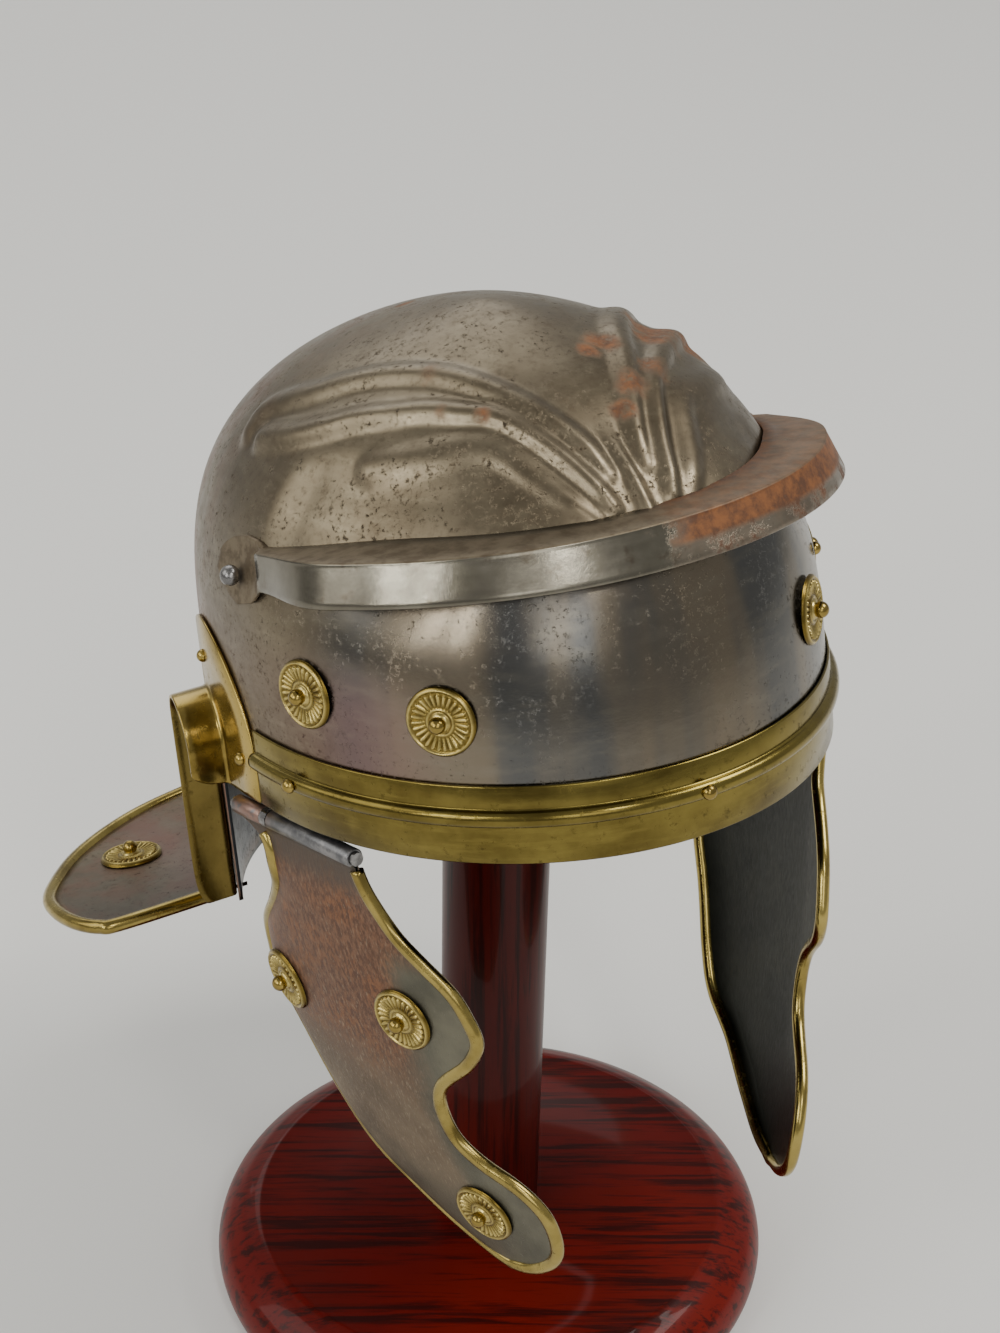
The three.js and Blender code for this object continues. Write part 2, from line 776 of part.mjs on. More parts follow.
// Half distance between the two cheek guards' middle surfaces.
function cheekXAt(y, drop) {
  const depth = drop / cheekDrop;
  const spread = cheekHalfSpread * (1 - 0.12 * depth - 0.235 * depth * depth);
  const reach = cheekFrontDepth * (1 + 0.025 * depth - 0.09 * depth * depth);
  const ahead = Math.max(cheekCrownY - y, 0) / reach;
  const round = spread * (1 - Math.min(ahead, 0.999) ** 1.9) ** (1 / 1.9);
  const turnFrom = edgeAt(cheekRear, drop) - 0.14 * cheekBreadth;
  const turning = THREE.MathUtils.smoothstep(depth, 0.08, 0.24);
  const turned = turning * cheekRearTurn * Math.max(y - turnFrom, 0) ** 2;
  const blend = THREE.MathUtils.smoothstep(drop, 0, 0.16 * cheekDrop);
  return THREE.MathUtils.lerp(hingeXAt(y), round - turned, blend);
}

function cheekPoint(y, drop) {
  return new THREE.Vector3(cheekXAt(y, drop), y, hingeAxisZ - drop);
}

function cheekNormal(y, drop) {
  const step = 0.5;
  const along = cheekPoint(y + step, drop).sub(cheekPoint(y - step, drop));
  const down = cheekPoint(y, drop + step).sub(cheekPoint(y, Math.max(drop - step, 0)));
  return new THREE.Vector3().crossVectors(down, along).normalize();
}

const hingeFront = new THREE.Vector3(hingeFrontX, hingeFrontY, hingeAxisZ);
const hingeRear = new THREE.Vector3(hingeRearX, hingeRearY, hingeAxisZ);
const hingeLength = hingeFront.distanceTo(hingeRear);

function alongHinge(distance) {
  return hingeFront.clone().lerp(hingeRear, distance / hingeLength);
}

const bowlKnuckleMiddle = bowlKnuckleShare * hingeLength;
const bowlKnuckleFrom = bowlKnuckleMiddle - bowlKnuckleLength / 2;
const bowlKnuckleTo = bowlKnuckleMiddle + bowlKnuckleLength / 2;

// Cheek guards and hinges are modelled on the wearer's left and mirrored for the right.
function mirrored(solid, side) {
  return side > 0 ? solid : solid.mirror([1, 0, 0]);
}

// An edge of the outline moved in by an inset, from a starting drop to the lowest point
function insetEdge(edge, startDrop, inward, inset) {
  const steps = 24;
  const around = [];
  for (let i = 0; i <= steps; i += 1) {
    const share = Math.sin((i / steps) * (Math.PI / 2));
    const drop = THREE.MathUtils.lerp(startDrop, cheekDrop, share);
    around.push(new THREE.Vector3(edgeAt(edge, drop), drop, 0));
  }
  return around.map((point, i) => {
    const before = around[Math.max(i - 1, 0)];
    const after = around[Math.min(i + 1, steps)];
    const run = after.clone().sub(before).normalize();
    if (i === steps) {
      run.set(inward, 0, 0);
    }
    const stretch = cheekPoint(point.x + 0.5, point.y).distanceTo(cheekPoint(point.x - 0.5, point.y));
    return new THREE.Vector3(
      point.x + (inward * run.y * inset) / stretch,
      point.y - inward * run.x * inset,
      0,
    );
  });
}

const edgingFront = insetEdge(cheekFront, knuckleRadius + cheekEdgingRadius, 1, cheekEdgingRadius);
const edgingRear = insetEdge(cheekRear, cheekTongueDrop, -1, cheekEdgingRadius);
// The plate ends under the edging, a little past its middle line.
const plateInset = 1.6 * cheekEdgingRadius;
const plateFront = insetEdge(cheekFront, knuckleRadius + cheekEdgingRadius, 1, plateInset);
const plateRear = insetEdge(cheekRear, cheekTongueDrop, -1, plateInset);

// Middle line of the edging: down the front edge, round the tip and up the rear edge
function cheekEdgingLine() {
  const around = [...edgingFront, ...edgingRear.slice(0, -1).reverse()];
  return around.map((point) => cheekPoint(point.x, point.y));
}

function makeCheek(side) {
  const rowCount = 17;
  const columnCount = 4;
  const rows = [];
  for (let i = 0; i <= rowCount; i += 1) {
    const drop = (cheekDrop - plateInset) * Math.sin((i / rowCount) * (Math.PI / 2) * 0.985);
    const from = edgeAt(plateFront, Math.max(drop, plateFront[0].y));
    const to = drop < plateRear[0].y ? edgeAt(cheekRear, drop) : edgeAt(plateRear, drop);
    const outer = [];
    const inner = [];
    for (let k = 0; k <= columnCount; k += 1) {
      const y = THREE.MathUtils.lerp(from, to, k / columnCount);
      const point = cheekPoint(y, drop);
      const normal = cheekNormal(y, drop);
      outer.push(point.clone().addScaledVector(normal, cheekSheet / 2));
      inner.push(point.clone().addScaledVector(normal, -cheekSheet / 2));
    }
    rows.push([...outer, ...inner.reverse()]);
  }
  const edgingSpace = edgingRoom(cheekEdgingLine(), cheekEdgingRadius, 42, 6);
  const frontKnuckle = toSolid(rodBetween(
    alongHinge(0),
    alongHinge(bowlKnuckleFrom - seatGap),
    knuckleRadius,
    10,
  ));
  const rearKnuckle = toSolid(rodBetween(
    alongHinge(bowlKnuckleTo + seatGap),
    alongHinge(hingeLength),
    knuckleRadius,
    10,
  ));
  const pinSpace = toSolid(rodBetween(
    alongHinge(-2 * pinHeadLength),
    alongHinge(hingeLength + 2 * pinHeadLength),
    pinRadius + pinGap,
    10,
  ));
  const headSpace = [[-pinHeadLength - 2 * seatGap, 0], [hingeLength, hingeLength + pinHeadLength + 2 * seatGap]]
    .map(([from, to]) => toSolid(rodBetween(alongHinge(from), alongHinge(to), pinHeadRadius + seatGap, 10)));
  const knuckleSpace = toSolid(rodBetween(
    alongHinge(bowlKnuckleFrom - seatGap),
    alongHinge(bowlKnuckleTo + seatGap),
    knuckleRadius + 2 * seatGap,
    10,
  ));
  const plate = toSolid(loft(rows)).subtract(edgingSpace);
  const hung = plate.add(frontKnuckle).add(rearKnuckle);
  const whole = [pinSpace, knuckleSpace, ...headSpace].reduce((solid, space) => solid.subtract(space), hung);
  return mirrored(whole, side);
}

function makeCheekEdging(side) {
  return mirrored(toSolid(roundBar(cheekEdgingLine(), cheekEdgingRadius, 42, 6)), side);
}

// Pin with a head at each end
function makeHingePin(side) {
  const shank = toSolid(rodBetween(
    alongHinge(-seatGap - pinHeadLength),
    alongHinge(hingeLength + seatGap + pinHeadLength),
    pinRadius,
    12,
  ));
  const frontHead = toSolid(rodBetween(
    alongHinge(-seatGap - pinHeadLength),
    alongHinge(-seatGap),
    pinHeadRadius,
    12,
  ));
  const rearHead = toSolid(rodBetween(
    alongHinge(hingeLength + seatGap),
    alongHinge(hingeLength + seatGap + pinHeadLength),
    pinHeadRadius,
    12,
  ));
  return mirrored(shank.add(frontHead).add(rearHead), side);
}

// Bowl's own hinge leaf: a knuckle under the rim, and a plate up the inside of the bowl
function makeHingeLeaf(side) {
  const knuckle = toSolid(rodBetween(alongHinge(bowlKnuckleFrom), alongHinge(bowlKnuckleTo), knuckleRadius, 10));
  const pinSpace = toSolid(rodBetween(
    alongHinge(bowlKnuckleFrom - 1),
    alongHinge(bowlKnuckleTo + 1),
    pinRadius + pinGap,
    10,
  ));
  const middle = alongHinge(bowlKnuckleMiddle);
  const shell = bowlSolid(-bowlWall - seatGap, -napeDrop, 40, 10, false)
    .subtract(bowlSolid(-bowlWall - seatGap - leafSheet, -2 * napeDrop, 40, 10, false));
  const shankFootZ = hingeAxisZ + 0.3 * knuckleRadius;
  const wideFootZ = hingeAxisZ + knuckleRadius + 2 * seatGap;
  const shank = new THREE.BoxGeometry(3 * knuckleRadius, bowlKnuckleLength - seatGap, wideFootZ - shankFootZ + 1)
    .translate(middle.x - knuckleRadius, middle.y, (wideFootZ + shankFootZ) / 2 + 0.5);
  const wide = new THREE.BoxGeometry(6 * knuckleRadius, leafWidth, leafHeight)
    .translate(middle.x, middle.y, wideFootZ + leafHeight / 2);
  const plate = shell.intersect(toSolid(shank).add(toSolid(wide)));
  return mirrored(knuckle.add(plate).subtract(pinSpace), side);
}

// Rosette: round plate with a rim, a hollow ring of petals round a raised boss
function rosetteGeometry() {
  const radius = rosetteDiameter / 2;
  const boss = rosetteBossDiameter / 2;
  const profile = [
    [0, 0],
    [radius, 0],
    [radius, rosetteRim],
    [radius * 0.5, rosetteRim * 0.7],
    [boss, rosetteRim * 1.3],
    [boss * 0.45, rosetteBossHeight],
    [0, rosetteBossHeight],
  ];
  return new THREE.LatheGeometry(profile.map(([r, h]) => new THREE.Vector2(r, h)), 9);
}

// Domed rivet head standing on its flat foot
function rivetGeometry(diameter, sides) {
  const radius = diameter / 2;
  const profile = [
    [0, 0],
    [radius, 0],
    [radius * 0.8, radius * 0.7],
    [0, radius * 1.1],
  ];
  return new THREE.LatheGeometry(profile.map(([r, h]) => new THREE.Vector2(r, h)), sides);
}

const helmet = new THREE.Group();
const model = new THREE.Group();

function addNode(group, name, geometry, material) {
  const mesh = new THREE.Mesh(geometry, material);
  mesh.name = name;
  group.add(mesh);
  return mesh;
}

// Stands a turned piece on a surface: foot at the point, axis along the outward normal.
function stand(mesh, point, normal, lift) {
  mesh.quaternion.setFromUnitVectors(new THREE.Vector3(0, 1, 0), normal);
  mesh.position.copy(point).addScaledVector(normal, lift);
}

function addRosette(name, point, normal, lift) {
  stand(addNode(helmet, name, tidy(rosetteGeometry()), brass), point, normal, lift);
  const rivet = addNode(helmet, `${name}_rivet`, tidy(rivetGeometry(rosetteRivetDiameter, 6)), brass);
  stand(rivet, point, normal, lift + rosetteBossHeight + seatGap);
}

// Outward normal of the bowl at an angle and height.
function bowlNormal(angle, z) {
  const step = 0.01;
  const around = bowlPoint(angle + step, z, 0).sub(bowlPoint(angle - step, z, 0));
  const up = bowlPoint(angle, z + 1, 0).sub(bowlPoint(angle, z - 1, 0));
  return new THREE.Vector3().crossVectors(around, up).normalize();
}

function sideName(side) {
  return side < 0 ? 'right' : 'left';
}

const [bowlDome, napeAndNeck] = makeBowl();
addNode(helmet, 'bowl', toGeometry(bowlDome), agedSteel);
addNode(helmet, 'neck_guard', toGeometry(napeAndNeck), agedSteel);
addNode(helmet, 'brow_guard', toGeometry(makeBrowGuard()), agedSteel);
addNode(helmet, 'brow_band', toGeometry(makeBand()), brass);
addNode(helmet, 'neck_guard_edging', tidy(roundBar(neckEdgingLine(), neckEdgingRadius, 34, 5)), brass);

// Rosettes on the bowl: angle from the front in degrees, and height as a share of the bowl's height
const bowlRosettes = {
  right: [['bowl_front_rosette', 45.2, 0.317], ['bowl_side_rosette', 72, 0.325]],
  left: [['bowl_front_rosette', 37.5, 0.345], ['bowl_side_rosette', 72, 0.325]],
};
// Rosettes on the cheek guards: shares of breadth and of drop
const cheekRosettes = [
  ['cheek_front_rosette', -0.43, 0.365],
  ['cheek_rear_rosette', 0.115, 0.415],
  ['cheek_lower_rosette', -0.47, 0.845],
];
const bandRivetDegrees = 76.5;

for (const side of [-1, 1]) {
  const hand = sideName(side);

  const onHand = (vector) => new THREE.Vector3(side * vector.x, vector.y, vector.z);

  for (const [name, degrees, share] of bowlRosettes[hand]) {
    const angle = THREE.MathUtils.degToRad(degrees);
    const z = share * bowlHeight;
    addRosette(`${name}_${hand}`, onHand(bowlSkin(angle, z)), onHand(bowlNormal(angle, z)), seatGap);
  }

  for (const [name, y, drop] of cheekRosettes) {
    const at = [y * cheekBreadth, drop * cheekDrop];
    addRosette(
      `${name}_${hand}`,
      onHand(cheekPoint(...at)),
      onHand(cheekNormal(...at)),
      cheekSheet / 2 + seatGap,
    );
  }

  const neckRosetteAt = onNeckPlane(0.7 * neckHalfBreadth, 0.49 * neckReach, neckSheet);
  const neckUp = onNeckPlane(0, 0, 1).sub(onNeckPlane(0, 0, 0));
  addRosette(`neck_rosette_${hand}`, onHand(neckRosetteAt), neckUp, seatGap);

  addNode(helmet, `ear_guard_${hand}`, toGeometry(makeEarGuard(side)), brass);
  const earRivetFrontY = THREE.MathUtils.lerp(earPlateCentreY - earPlateHalfWidth, earCentreY - earHalfWidth, 0.4);
  const earRivetRearY = THREE.MathUtils.lerp(earPlateCentreY + earPlateHalfWidth, earCentreY + earHalfWidth, 0.4);
  const earRivets = [
    [earRivetFrontY, earSpringZ + earRivetRise],
    [earCentreY + earRivetShift, earSpringZ + 1.8 * earHalfWidth],
    [earRivetRearY, earSpringZ + earRivetRise],
  ];
  earRivets.forEach(([y, z], i) => {
    const angle = angleAtY(y, z, 0);
    const rivet = addNode(
      helmet,
      `ear_guard_rivet_${hand}_${i + 1}`,
      tidy(rivetGeometry(earRivetDiameter, 6)),
      brass,
    );
    stand(rivet, onHand(bowlPoint(angle, z, 0)), onHand(bowlNormal(angle, z)), earSheet + 2 * seatGap);
  });

  const guardRivetZ = guardEndZ - 0.47 * guardTabHeight;
  const guardAngle = angleAtY(onTab(0.487, guardRivetZ, 0).y, guardRivetZ, 0);
  const guardRivet = addNode(
    helmet,
    `brow_guard_rivet_${hand}`,
    tidy(rivetGeometry(guardRivetDiameter, 10)),
    darkSteel,
  );
  stand(
    guardRivet,
    onHand(bowlPoint(guardAngle, guardRivetZ, 0)),
    onHand(bowlNormal(guardAngle, guardRivetZ)),
    guardSheet + 2 * seatGap + 1,
  );

  addNode(helmet, `cheek_plate_${hand}`, toGeometry(makeCheek(side)), rustySteel);
  addNode(helmet, `cheek_edging_${hand}`, toGeometry(makeCheekEdging(side)), brass);
  addNode(helmet, `hinge_pin_${hand}`, toGeometry(makeHingePin(side)), darkSteel);
  addNode(helmet, `hinge_leaf_${hand}`, toGeometry(makeHingeLeaf(side)), darkSteel);
}

// Rivets of the band, on the crest of its bead
[-1, 0, 1].forEach((place) => {
  const angle = THREE.MathUtils.degToRad(place * bandRivetDegrees);
  const name = ['right', 'front', 'left'][place + 1];
  const rivet = addNode(helmet, `band_rivet_${name}`, tidy(rivetGeometry(bandRivetDiameter, 6)), brass);
  stand(
    rivet,
    bowlPoint(angle, bandBeadZ, seatGap + bandSheet + bandBeadProud),
    bowlNormal(angle, bandBeadZ),
    seatGap,
  );
});

// Small rivet over the front rosette on the wearer's left
const sideRivetAngle = THREE.MathUtils.degToRad(54);
const sideRivetZ = 0.408 * bowlHeight;
const sideRivet = addNode(helmet, 'bowl_side_rivet_left', tidy(rivetGeometry(earRivetDiameter, 6)), darkSteel);
stand(sideRivet, bowlSkin(sideRivetAngle, sideRivetZ), bowlNormal(sideRivetAngle, sideRivetZ), seatGap);

helmet.position.set(helmetShiftX, helmetShiftY, helmetRimHeight);
helmet.rotation.x = THREE.MathUtils.degToRad(helmetTiltDegrees);
helmet.updateMatrixWorld(true);

// Stand: turned base, and a post whose top follows the inside of the bowl
const baseProfile = [
  [0, 0],
  [standFootRadius, 0],
  [THREE.MathUtils.lerp(standRimRadius, standFootRadius, 0.2), 0.35 * standRimHeight],
  [standRimRadius, standRimHeight],
  [THREE.MathUtils.lerp(standTopRadius, standRimRadius, 0.86), 0.67 * standBaseHeight],
  [THREE.MathUtils.lerp(standTopRadius, standRimRadius, 0.5), 0.87 * standBaseHeight],
  [THREE.MathUtils.lerp(standTopRadius, standRimRadius, 0.2), 0.965 * standBaseHeight],
  [standTopRadius, standBaseHeight],
  [0, standBaseHeight],
];
const baseMesh = addNode(
  model,
  'stand_base',
  tidy(new THREE.LatheGeometry(baseProfile.map(([r, h]) => new THREE.Vector2(r, h)), 36)),
  lacquer,
);
baseMesh.rotation.x = Math.PI / 2;

const postFoot = standBaseHeight + seatGap;
const postHeight = helmetRimHeight + bowlHeight - postFoot;
const postGeometry = new THREE.CylinderGeometry(postTopDiameter / 2, postFootDiameter / 2, postHeight, 24);
const postLean = new THREE.Matrix4().makeShear(0, 0, 0, 0, postLeanX / postHeight, postLeanY / postHeight);
postGeometry.rotateX(Math.PI / 2).translate(0, 0, postHeight / 2).applyMatrix4(postLean).translate(0, 0, postFoot);
const bowlHollow = toGeometry(bowlSolid(-bowlWall - seatGap, -2 * bowlHeight, 40, 10, false));
bowlHollow.applyMatrix4(helmet.matrixWorld);
addNode(model, 'stand_post', toGeometry(toSolid(postGeometry).intersect(toSolid(bowlHollow))), lacquer);

model.add(helmet);

export default model;
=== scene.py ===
"""Roman legionary helmet with hinged cheek guards on a turned wooden stand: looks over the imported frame."""

import math

import bmesh
import bpy
import numpy as np
from mathutils import Matrix, Vector


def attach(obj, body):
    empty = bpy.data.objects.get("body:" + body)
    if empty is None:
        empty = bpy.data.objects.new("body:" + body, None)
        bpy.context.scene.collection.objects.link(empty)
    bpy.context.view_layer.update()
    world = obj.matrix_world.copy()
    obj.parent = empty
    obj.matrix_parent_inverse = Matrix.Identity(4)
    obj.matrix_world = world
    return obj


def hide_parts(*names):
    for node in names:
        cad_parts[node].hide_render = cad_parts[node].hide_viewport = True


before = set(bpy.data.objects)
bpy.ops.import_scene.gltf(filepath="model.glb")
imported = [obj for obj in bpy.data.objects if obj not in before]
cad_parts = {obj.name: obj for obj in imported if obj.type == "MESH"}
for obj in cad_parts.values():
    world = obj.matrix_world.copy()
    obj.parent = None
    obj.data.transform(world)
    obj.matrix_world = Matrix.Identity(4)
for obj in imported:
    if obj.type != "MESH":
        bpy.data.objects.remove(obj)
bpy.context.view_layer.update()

ROOT = "helmet_on_stand"
MM = 0.001

# Where the helmet hangs on its stand
HELMET = Matrix.Translation((0.009, -0.009, 0.252)) @ Matrix.Rotation(math.radians(-10.7), 4, "X")
PLAIN = Matrix.Identity(4)

# Bowl
HALF_WIDTH, FRONT, REAR, HEIGHT, UPRIGHT, WALL = 101.3, 118.0, 137.0, 152.0, 27.0, 1.6

# Ear openings and the plates round them
EAR_CENTRE, EAR_HALF, EAR_SPRING, EAR_FOOT = 43.75, 14.75, 10.0, -4.0
PLATE_CENTRE, PLATE_HALF, PLATE_SPRING = 39.0, 41.0, 11.0

# Meshes


def to_mesh(name, verts, faces):
    """A mesh from corners in millimetres."""
    mesh = bpy.data.meshes.new(name)
    corners = [tuple(float(c) * MM for c in v) for v in verts]
    mesh.from_pydata(corners, [], [tuple(int(i) for i in f) for f in faces])
    return mesh


def smooth_mesh(name, verts, faces, material):
    mesh = to_mesh(name, verts, faces)
    mesh.validate()
    mesh.update()
    mesh.polygons.foreach_set("use_smooth", [True] * len(mesh.polygons))
    mesh.materials.append(material)
    return mesh


def add_piece(name, verts, faces, material, body=ROOT, slot=None, matrix=HELMET, stands_for=()):
    """A mesh in millimetres of the helmet's own frame, or of the frame given by matrix."""
    return place(name, smooth_mesh(name, verts, faces, material), body, matrix, stands_for)


def place(name, mesh, body, matrix, stands_for):
    """Puts a mesh into the scene on its body and in place of the CAD nodes named."""
    piece = bpy.data.objects.new(name, mesh)
    bpy.context.scene.collection.objects.link(piece)
    piece.matrix_world = matrix
    bpy.context.view_layer.update()
    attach(piece, body)
    if stands_for:
        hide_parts(*stands_for)
    return piece


def grid_faces(rows, columns, close_rows=False, close_columns=False):
    faces = []
    for i in range(rows if close_rows else rows - 1):
        for k in range(columns if close_columns else columns - 1):
            a, b = i * columns + k, i * columns + (k + 1) % columns
            c, d = ((i + 1) % rows) * columns + (k + 1) % columns, ((i + 1) % rows) * columns + k
            faces.append((a, b, c, d))
    return faces


def cap(faces, start, count, flip):
    loop = tuple(range(start, start + count))
    faces.append(tuple(reversed(loop)) if flip else loop)


def loft(loops):
    """Closed solid through a row of closed loops with as many points each."""
    count = len(loops[0])
    faces = grid_faces(len(loops), count, close_columns=True)
    cap(faces, 0, count, True)
    cap(faces, (len(loops) - 1) * count, count, False)
    return [v for loop in loops for v in loop], faces


def lathe(profile, steps):
    """Closed solid of revolution round Z; the profile runs from the axis to the axis."""
    verts, faces = [], []
    inner = profile[1:-1]
    for r, z in inner:
        for k in range(steps):
            a = 2 * math.pi * k / steps
            verts.append((r * math.cos(a), r * math.sin(a), z))
    faces += grid_faces(len(inner), steps, close_columns=True)
    for end, row in ((profile[0], 0), (profile[-1], len(inner) - 1)):
        verts.append((0, 0, end[1]))
        tip = len(verts) - 1
        for k in range(steps):
            a, b = row * steps + k, row * steps + (k + 1) % steps
            faces.append((tip, b, a) if row == 0 else (tip, a, b))
    return verts, faces


def smooth_profile(points, count):
    """Catmull-Rom samples through 2D or 3D points."""
    p = np.array(points, float)
    p = np.vstack([2 * p[0] - p[1], p, 2 * p[-1] - p[-2]])
    out = []
    spans = len(p) - 3
    for s in np.linspace(0, spans, count):
        i = min(int(s), spans - 1)
        t = s - i
        a, b, c, d = p[i:i + 4]
        square, cube = 2 * a - 5 * b + 4 * c - d, 3 * b - a - 3 * c + d
        out.append(0.5 * (2 * b + (c - a) * t + square * t * t + cube * t ** 3))
    return np.array(out)


def resample(points, count):
    """Evenly spaced points along a polyline."""
    p = np.array(points, float)
    run = np.concatenate([[0], np.cumsum(np.linalg.norm(np.diff(p, axis=0), axis=1))])
    at = np.linspace(0, run[-1], count)
    return np.column_stack([np.interp(at, run, p[:, k]) for k in range(p.shape[1])])


def sweep(path, radius, sides=20, up=(0, 0, 1), flat=1.0):
    """Round bar along a path, squeezed along up by flat."""
    path = np.array(path, float)
    n = len(path)
    tangent = np.gradient(path, axis=0)
    tangent /= np.linalg.norm(tangent, axis=1)[:, None]
    up = np.array(up, float) if np.ndim(up) == 2 else np.tile(np.array(up, float), (n, 1))
    side = np.cross(tangent, up)
    side /= np.linalg.norm(side, axis=1)[:, None]
    lift = np.cross(side, tangent)
    turns = [2 * math.pi * k / sides for k in range(sides)]
    return loft([
        [p + radius * (math.cos(a) * across + flat * math.sin(a) * rise) for a in turns]
        for p, across, rise in zip(path, side, lift)
    ])


# Bowl surface


def draw_in(z, grow=0.0):
    u = np.clip((z - UPRIGHT) / (HEIGHT + grow - UPRIGHT), 0, 1)
    return (1 - u ** 3.52) ** (1 / 1.39)


def bowl_point(angle, z, grow=0.0):
    """Point of the plain bowl at an angle round from the front and a height, grown outward."""
    angle, z = np.broadcast_arrays(np.asarray(angle, float), np.asarray(z, float))
    reach = np.where(np.cos(angle) > 0, FRONT, REAR)
    g = draw_in(z, grow)
    return np.stack([(HALF_WIDTH + grow) * g * np.sin(angle), -(reach + grow) * g * np.cos(angle), z], -1)


def bowl_out(points):
    """Outward direction of the bowl, the same as the CAD uses to raise its relief."""
    out = np.stack([
        points[..., 0] / HALF_WIDTH ** 2,
        points[..., 1] / FRONT ** 2,
        np.maximum(points[..., 2] - UPRIGHT, 0) / HEIGHT ** 2,
    ], -1)
    return out / np.maximum(np.linalg.norm(out, axis=-1, keepdims=True), 1e-9)


def angle_at(y, z, grow=0.0):
    """Angle round the bowl at which its outline at a height reaches y."""
    reach = FRONT if y < 0 else REAR
    return math.acos(-y / ((reach + grow) * float(draw_in(z, grow))))


def smoothstep(x, lo, hi):
    t = np.clip((x - lo) / (hi - lo), 0, 1)
    return t * t * (3 - 2 * t)


SCALE = np.array([HALF_WIDTH, FRONT, HEIGHT])
UPPER_BROW = np.array([
    [0.725, 0.262, 0.775], [0.67, 0.271, 0.808], [0.625, 0.182, 0.84], [0.564, 0.066, 0.874],
    [0.461, -0.066, 0.908], [0.358, -0.21, 0.924], [0.295, -0.307, 0.921], [0.212, -0.462, 0.893],
    [0.145, -0.585, 0.858], [0.098, -0.68, 0.82], [0.075, -0.765, 0.773],
]) * SCALE
LOWER_BROW = np.array([
    [0.748, 0.150, 0.782], [0.712, 0.02, 0.806], [0.652, -0.092, 0.834], [0.583, -0.175, 0.856],
    [0.512, -0.262, 0.870], [0.434, -0.340, 0.880], [0.364, -0.418, 0.879], [0.290, -0.489, 0.872],
    [0.235, -0.579, 0.848], [0.172, -0.702, 0.8], [0.132, -0.788, 0.75], [0.109, -0.839, 0.714],
]) * SCALE
SOFT_BROW = np.array([
    [0.656, -0.345, 0.783], [0.532, -0.439, 0.813], [0.403, -0.518, 0.831], [0.344, -0.58, 0.821],
    [0.298, -0.676, 0.785], [0.253, -0.749, 0.75], [0.177, -0.832, 0.7],
]) * SCALE
BROWS = tuple(
    (smooth_profile(line, 60), wide, narrow, rise)
    for line, wide, narrow, rise in (
        (UPPER_BROW, 9.5, 5.6, 2.8), (LOWER_BROW, 8.6, 5.0, 3.3), (SOFT_BROW, 9.5, 5.5, 1.7),
    )
)


# Sunk brow round the eyebrows, and the hollow at the temples
HOLLOW_DEPTH, HOLLOW_BREADTH, TEMPLE_DEPTH = 3.5, 34.0, 2.5


def line_distance(points, line):
    """Distance to a polyline, and how far along it the nearest point lies, from 0 to 1."""
    best = np.full(points.shape[:-1], 1e9)
    share = np.zeros(points.shape[:-1])
    n = len(line) - 1
    for i in range(n):
        a, d = line[i], line[i + 1] - line[i]
        t = np.clip(((points - a) @ d) / (d @ d), 0, 1)
        dist = np.linalg.norm(points - (a + t[..., None] * d), axis=-1)
        closer = dist < best
        best = np.where(closer, dist, best)
        share = np.where(closer, (i + t) / n, share)
    return best, share


def brow_relief(points):
    """How far the embossed eyebrows and the sunk brow stand from the plain bowl."""
    p = points.copy()
    p[..., 0] = np.abs(p[..., 0])
    below = (0.871 * HEIGHT - p[..., 2]) / HOLLOW_BREADTH
    ahead = (p[..., 1] + 0.2 * FRONT) / (0.8 * FRONT)
    sunk = smoothstep(below, -0.3, 0.4) * (1 - smoothstep(below, 0.8, 3.1))
    height = -HOLLOW_DEPTH * sunk * (1 - smoothstep(ahead, -0.6, 0.1))
    temple = smoothstep(below, 0.25, 0.6) * (1 - smoothstep(below, 1.07, 2.07))
    beside = smoothstep(ahead, -0.76, -0.4) * (1 - smoothstep(ahead, 0, 0.17))
    height = height - TEMPLE_DEPTH * temple * beside
    for line, wide, narrow, rise in BROWS:
        dist, share = line_distance(p, line)
        half = wide + (narrow - wide) * share
        s = dist / half
        bump = np.where(s < 1, (1 - s * s) ** 2, 0) * rise * (1 - 0.35 * smoothstep(share, 0.9, 1.0))
        height = height + bump
    ridge = np.abs(p[..., 0]) / 4.0
    central = np.where(ridge < 1, (1 - ridge ** 2) ** 2, 0) * 2.0
    central = central * smoothstep(p[..., 2], 96, 104) * (1 - smoothstep(p[..., 2], 116, 130))
    return height + central * (p[..., 1] < -40)


# Materials


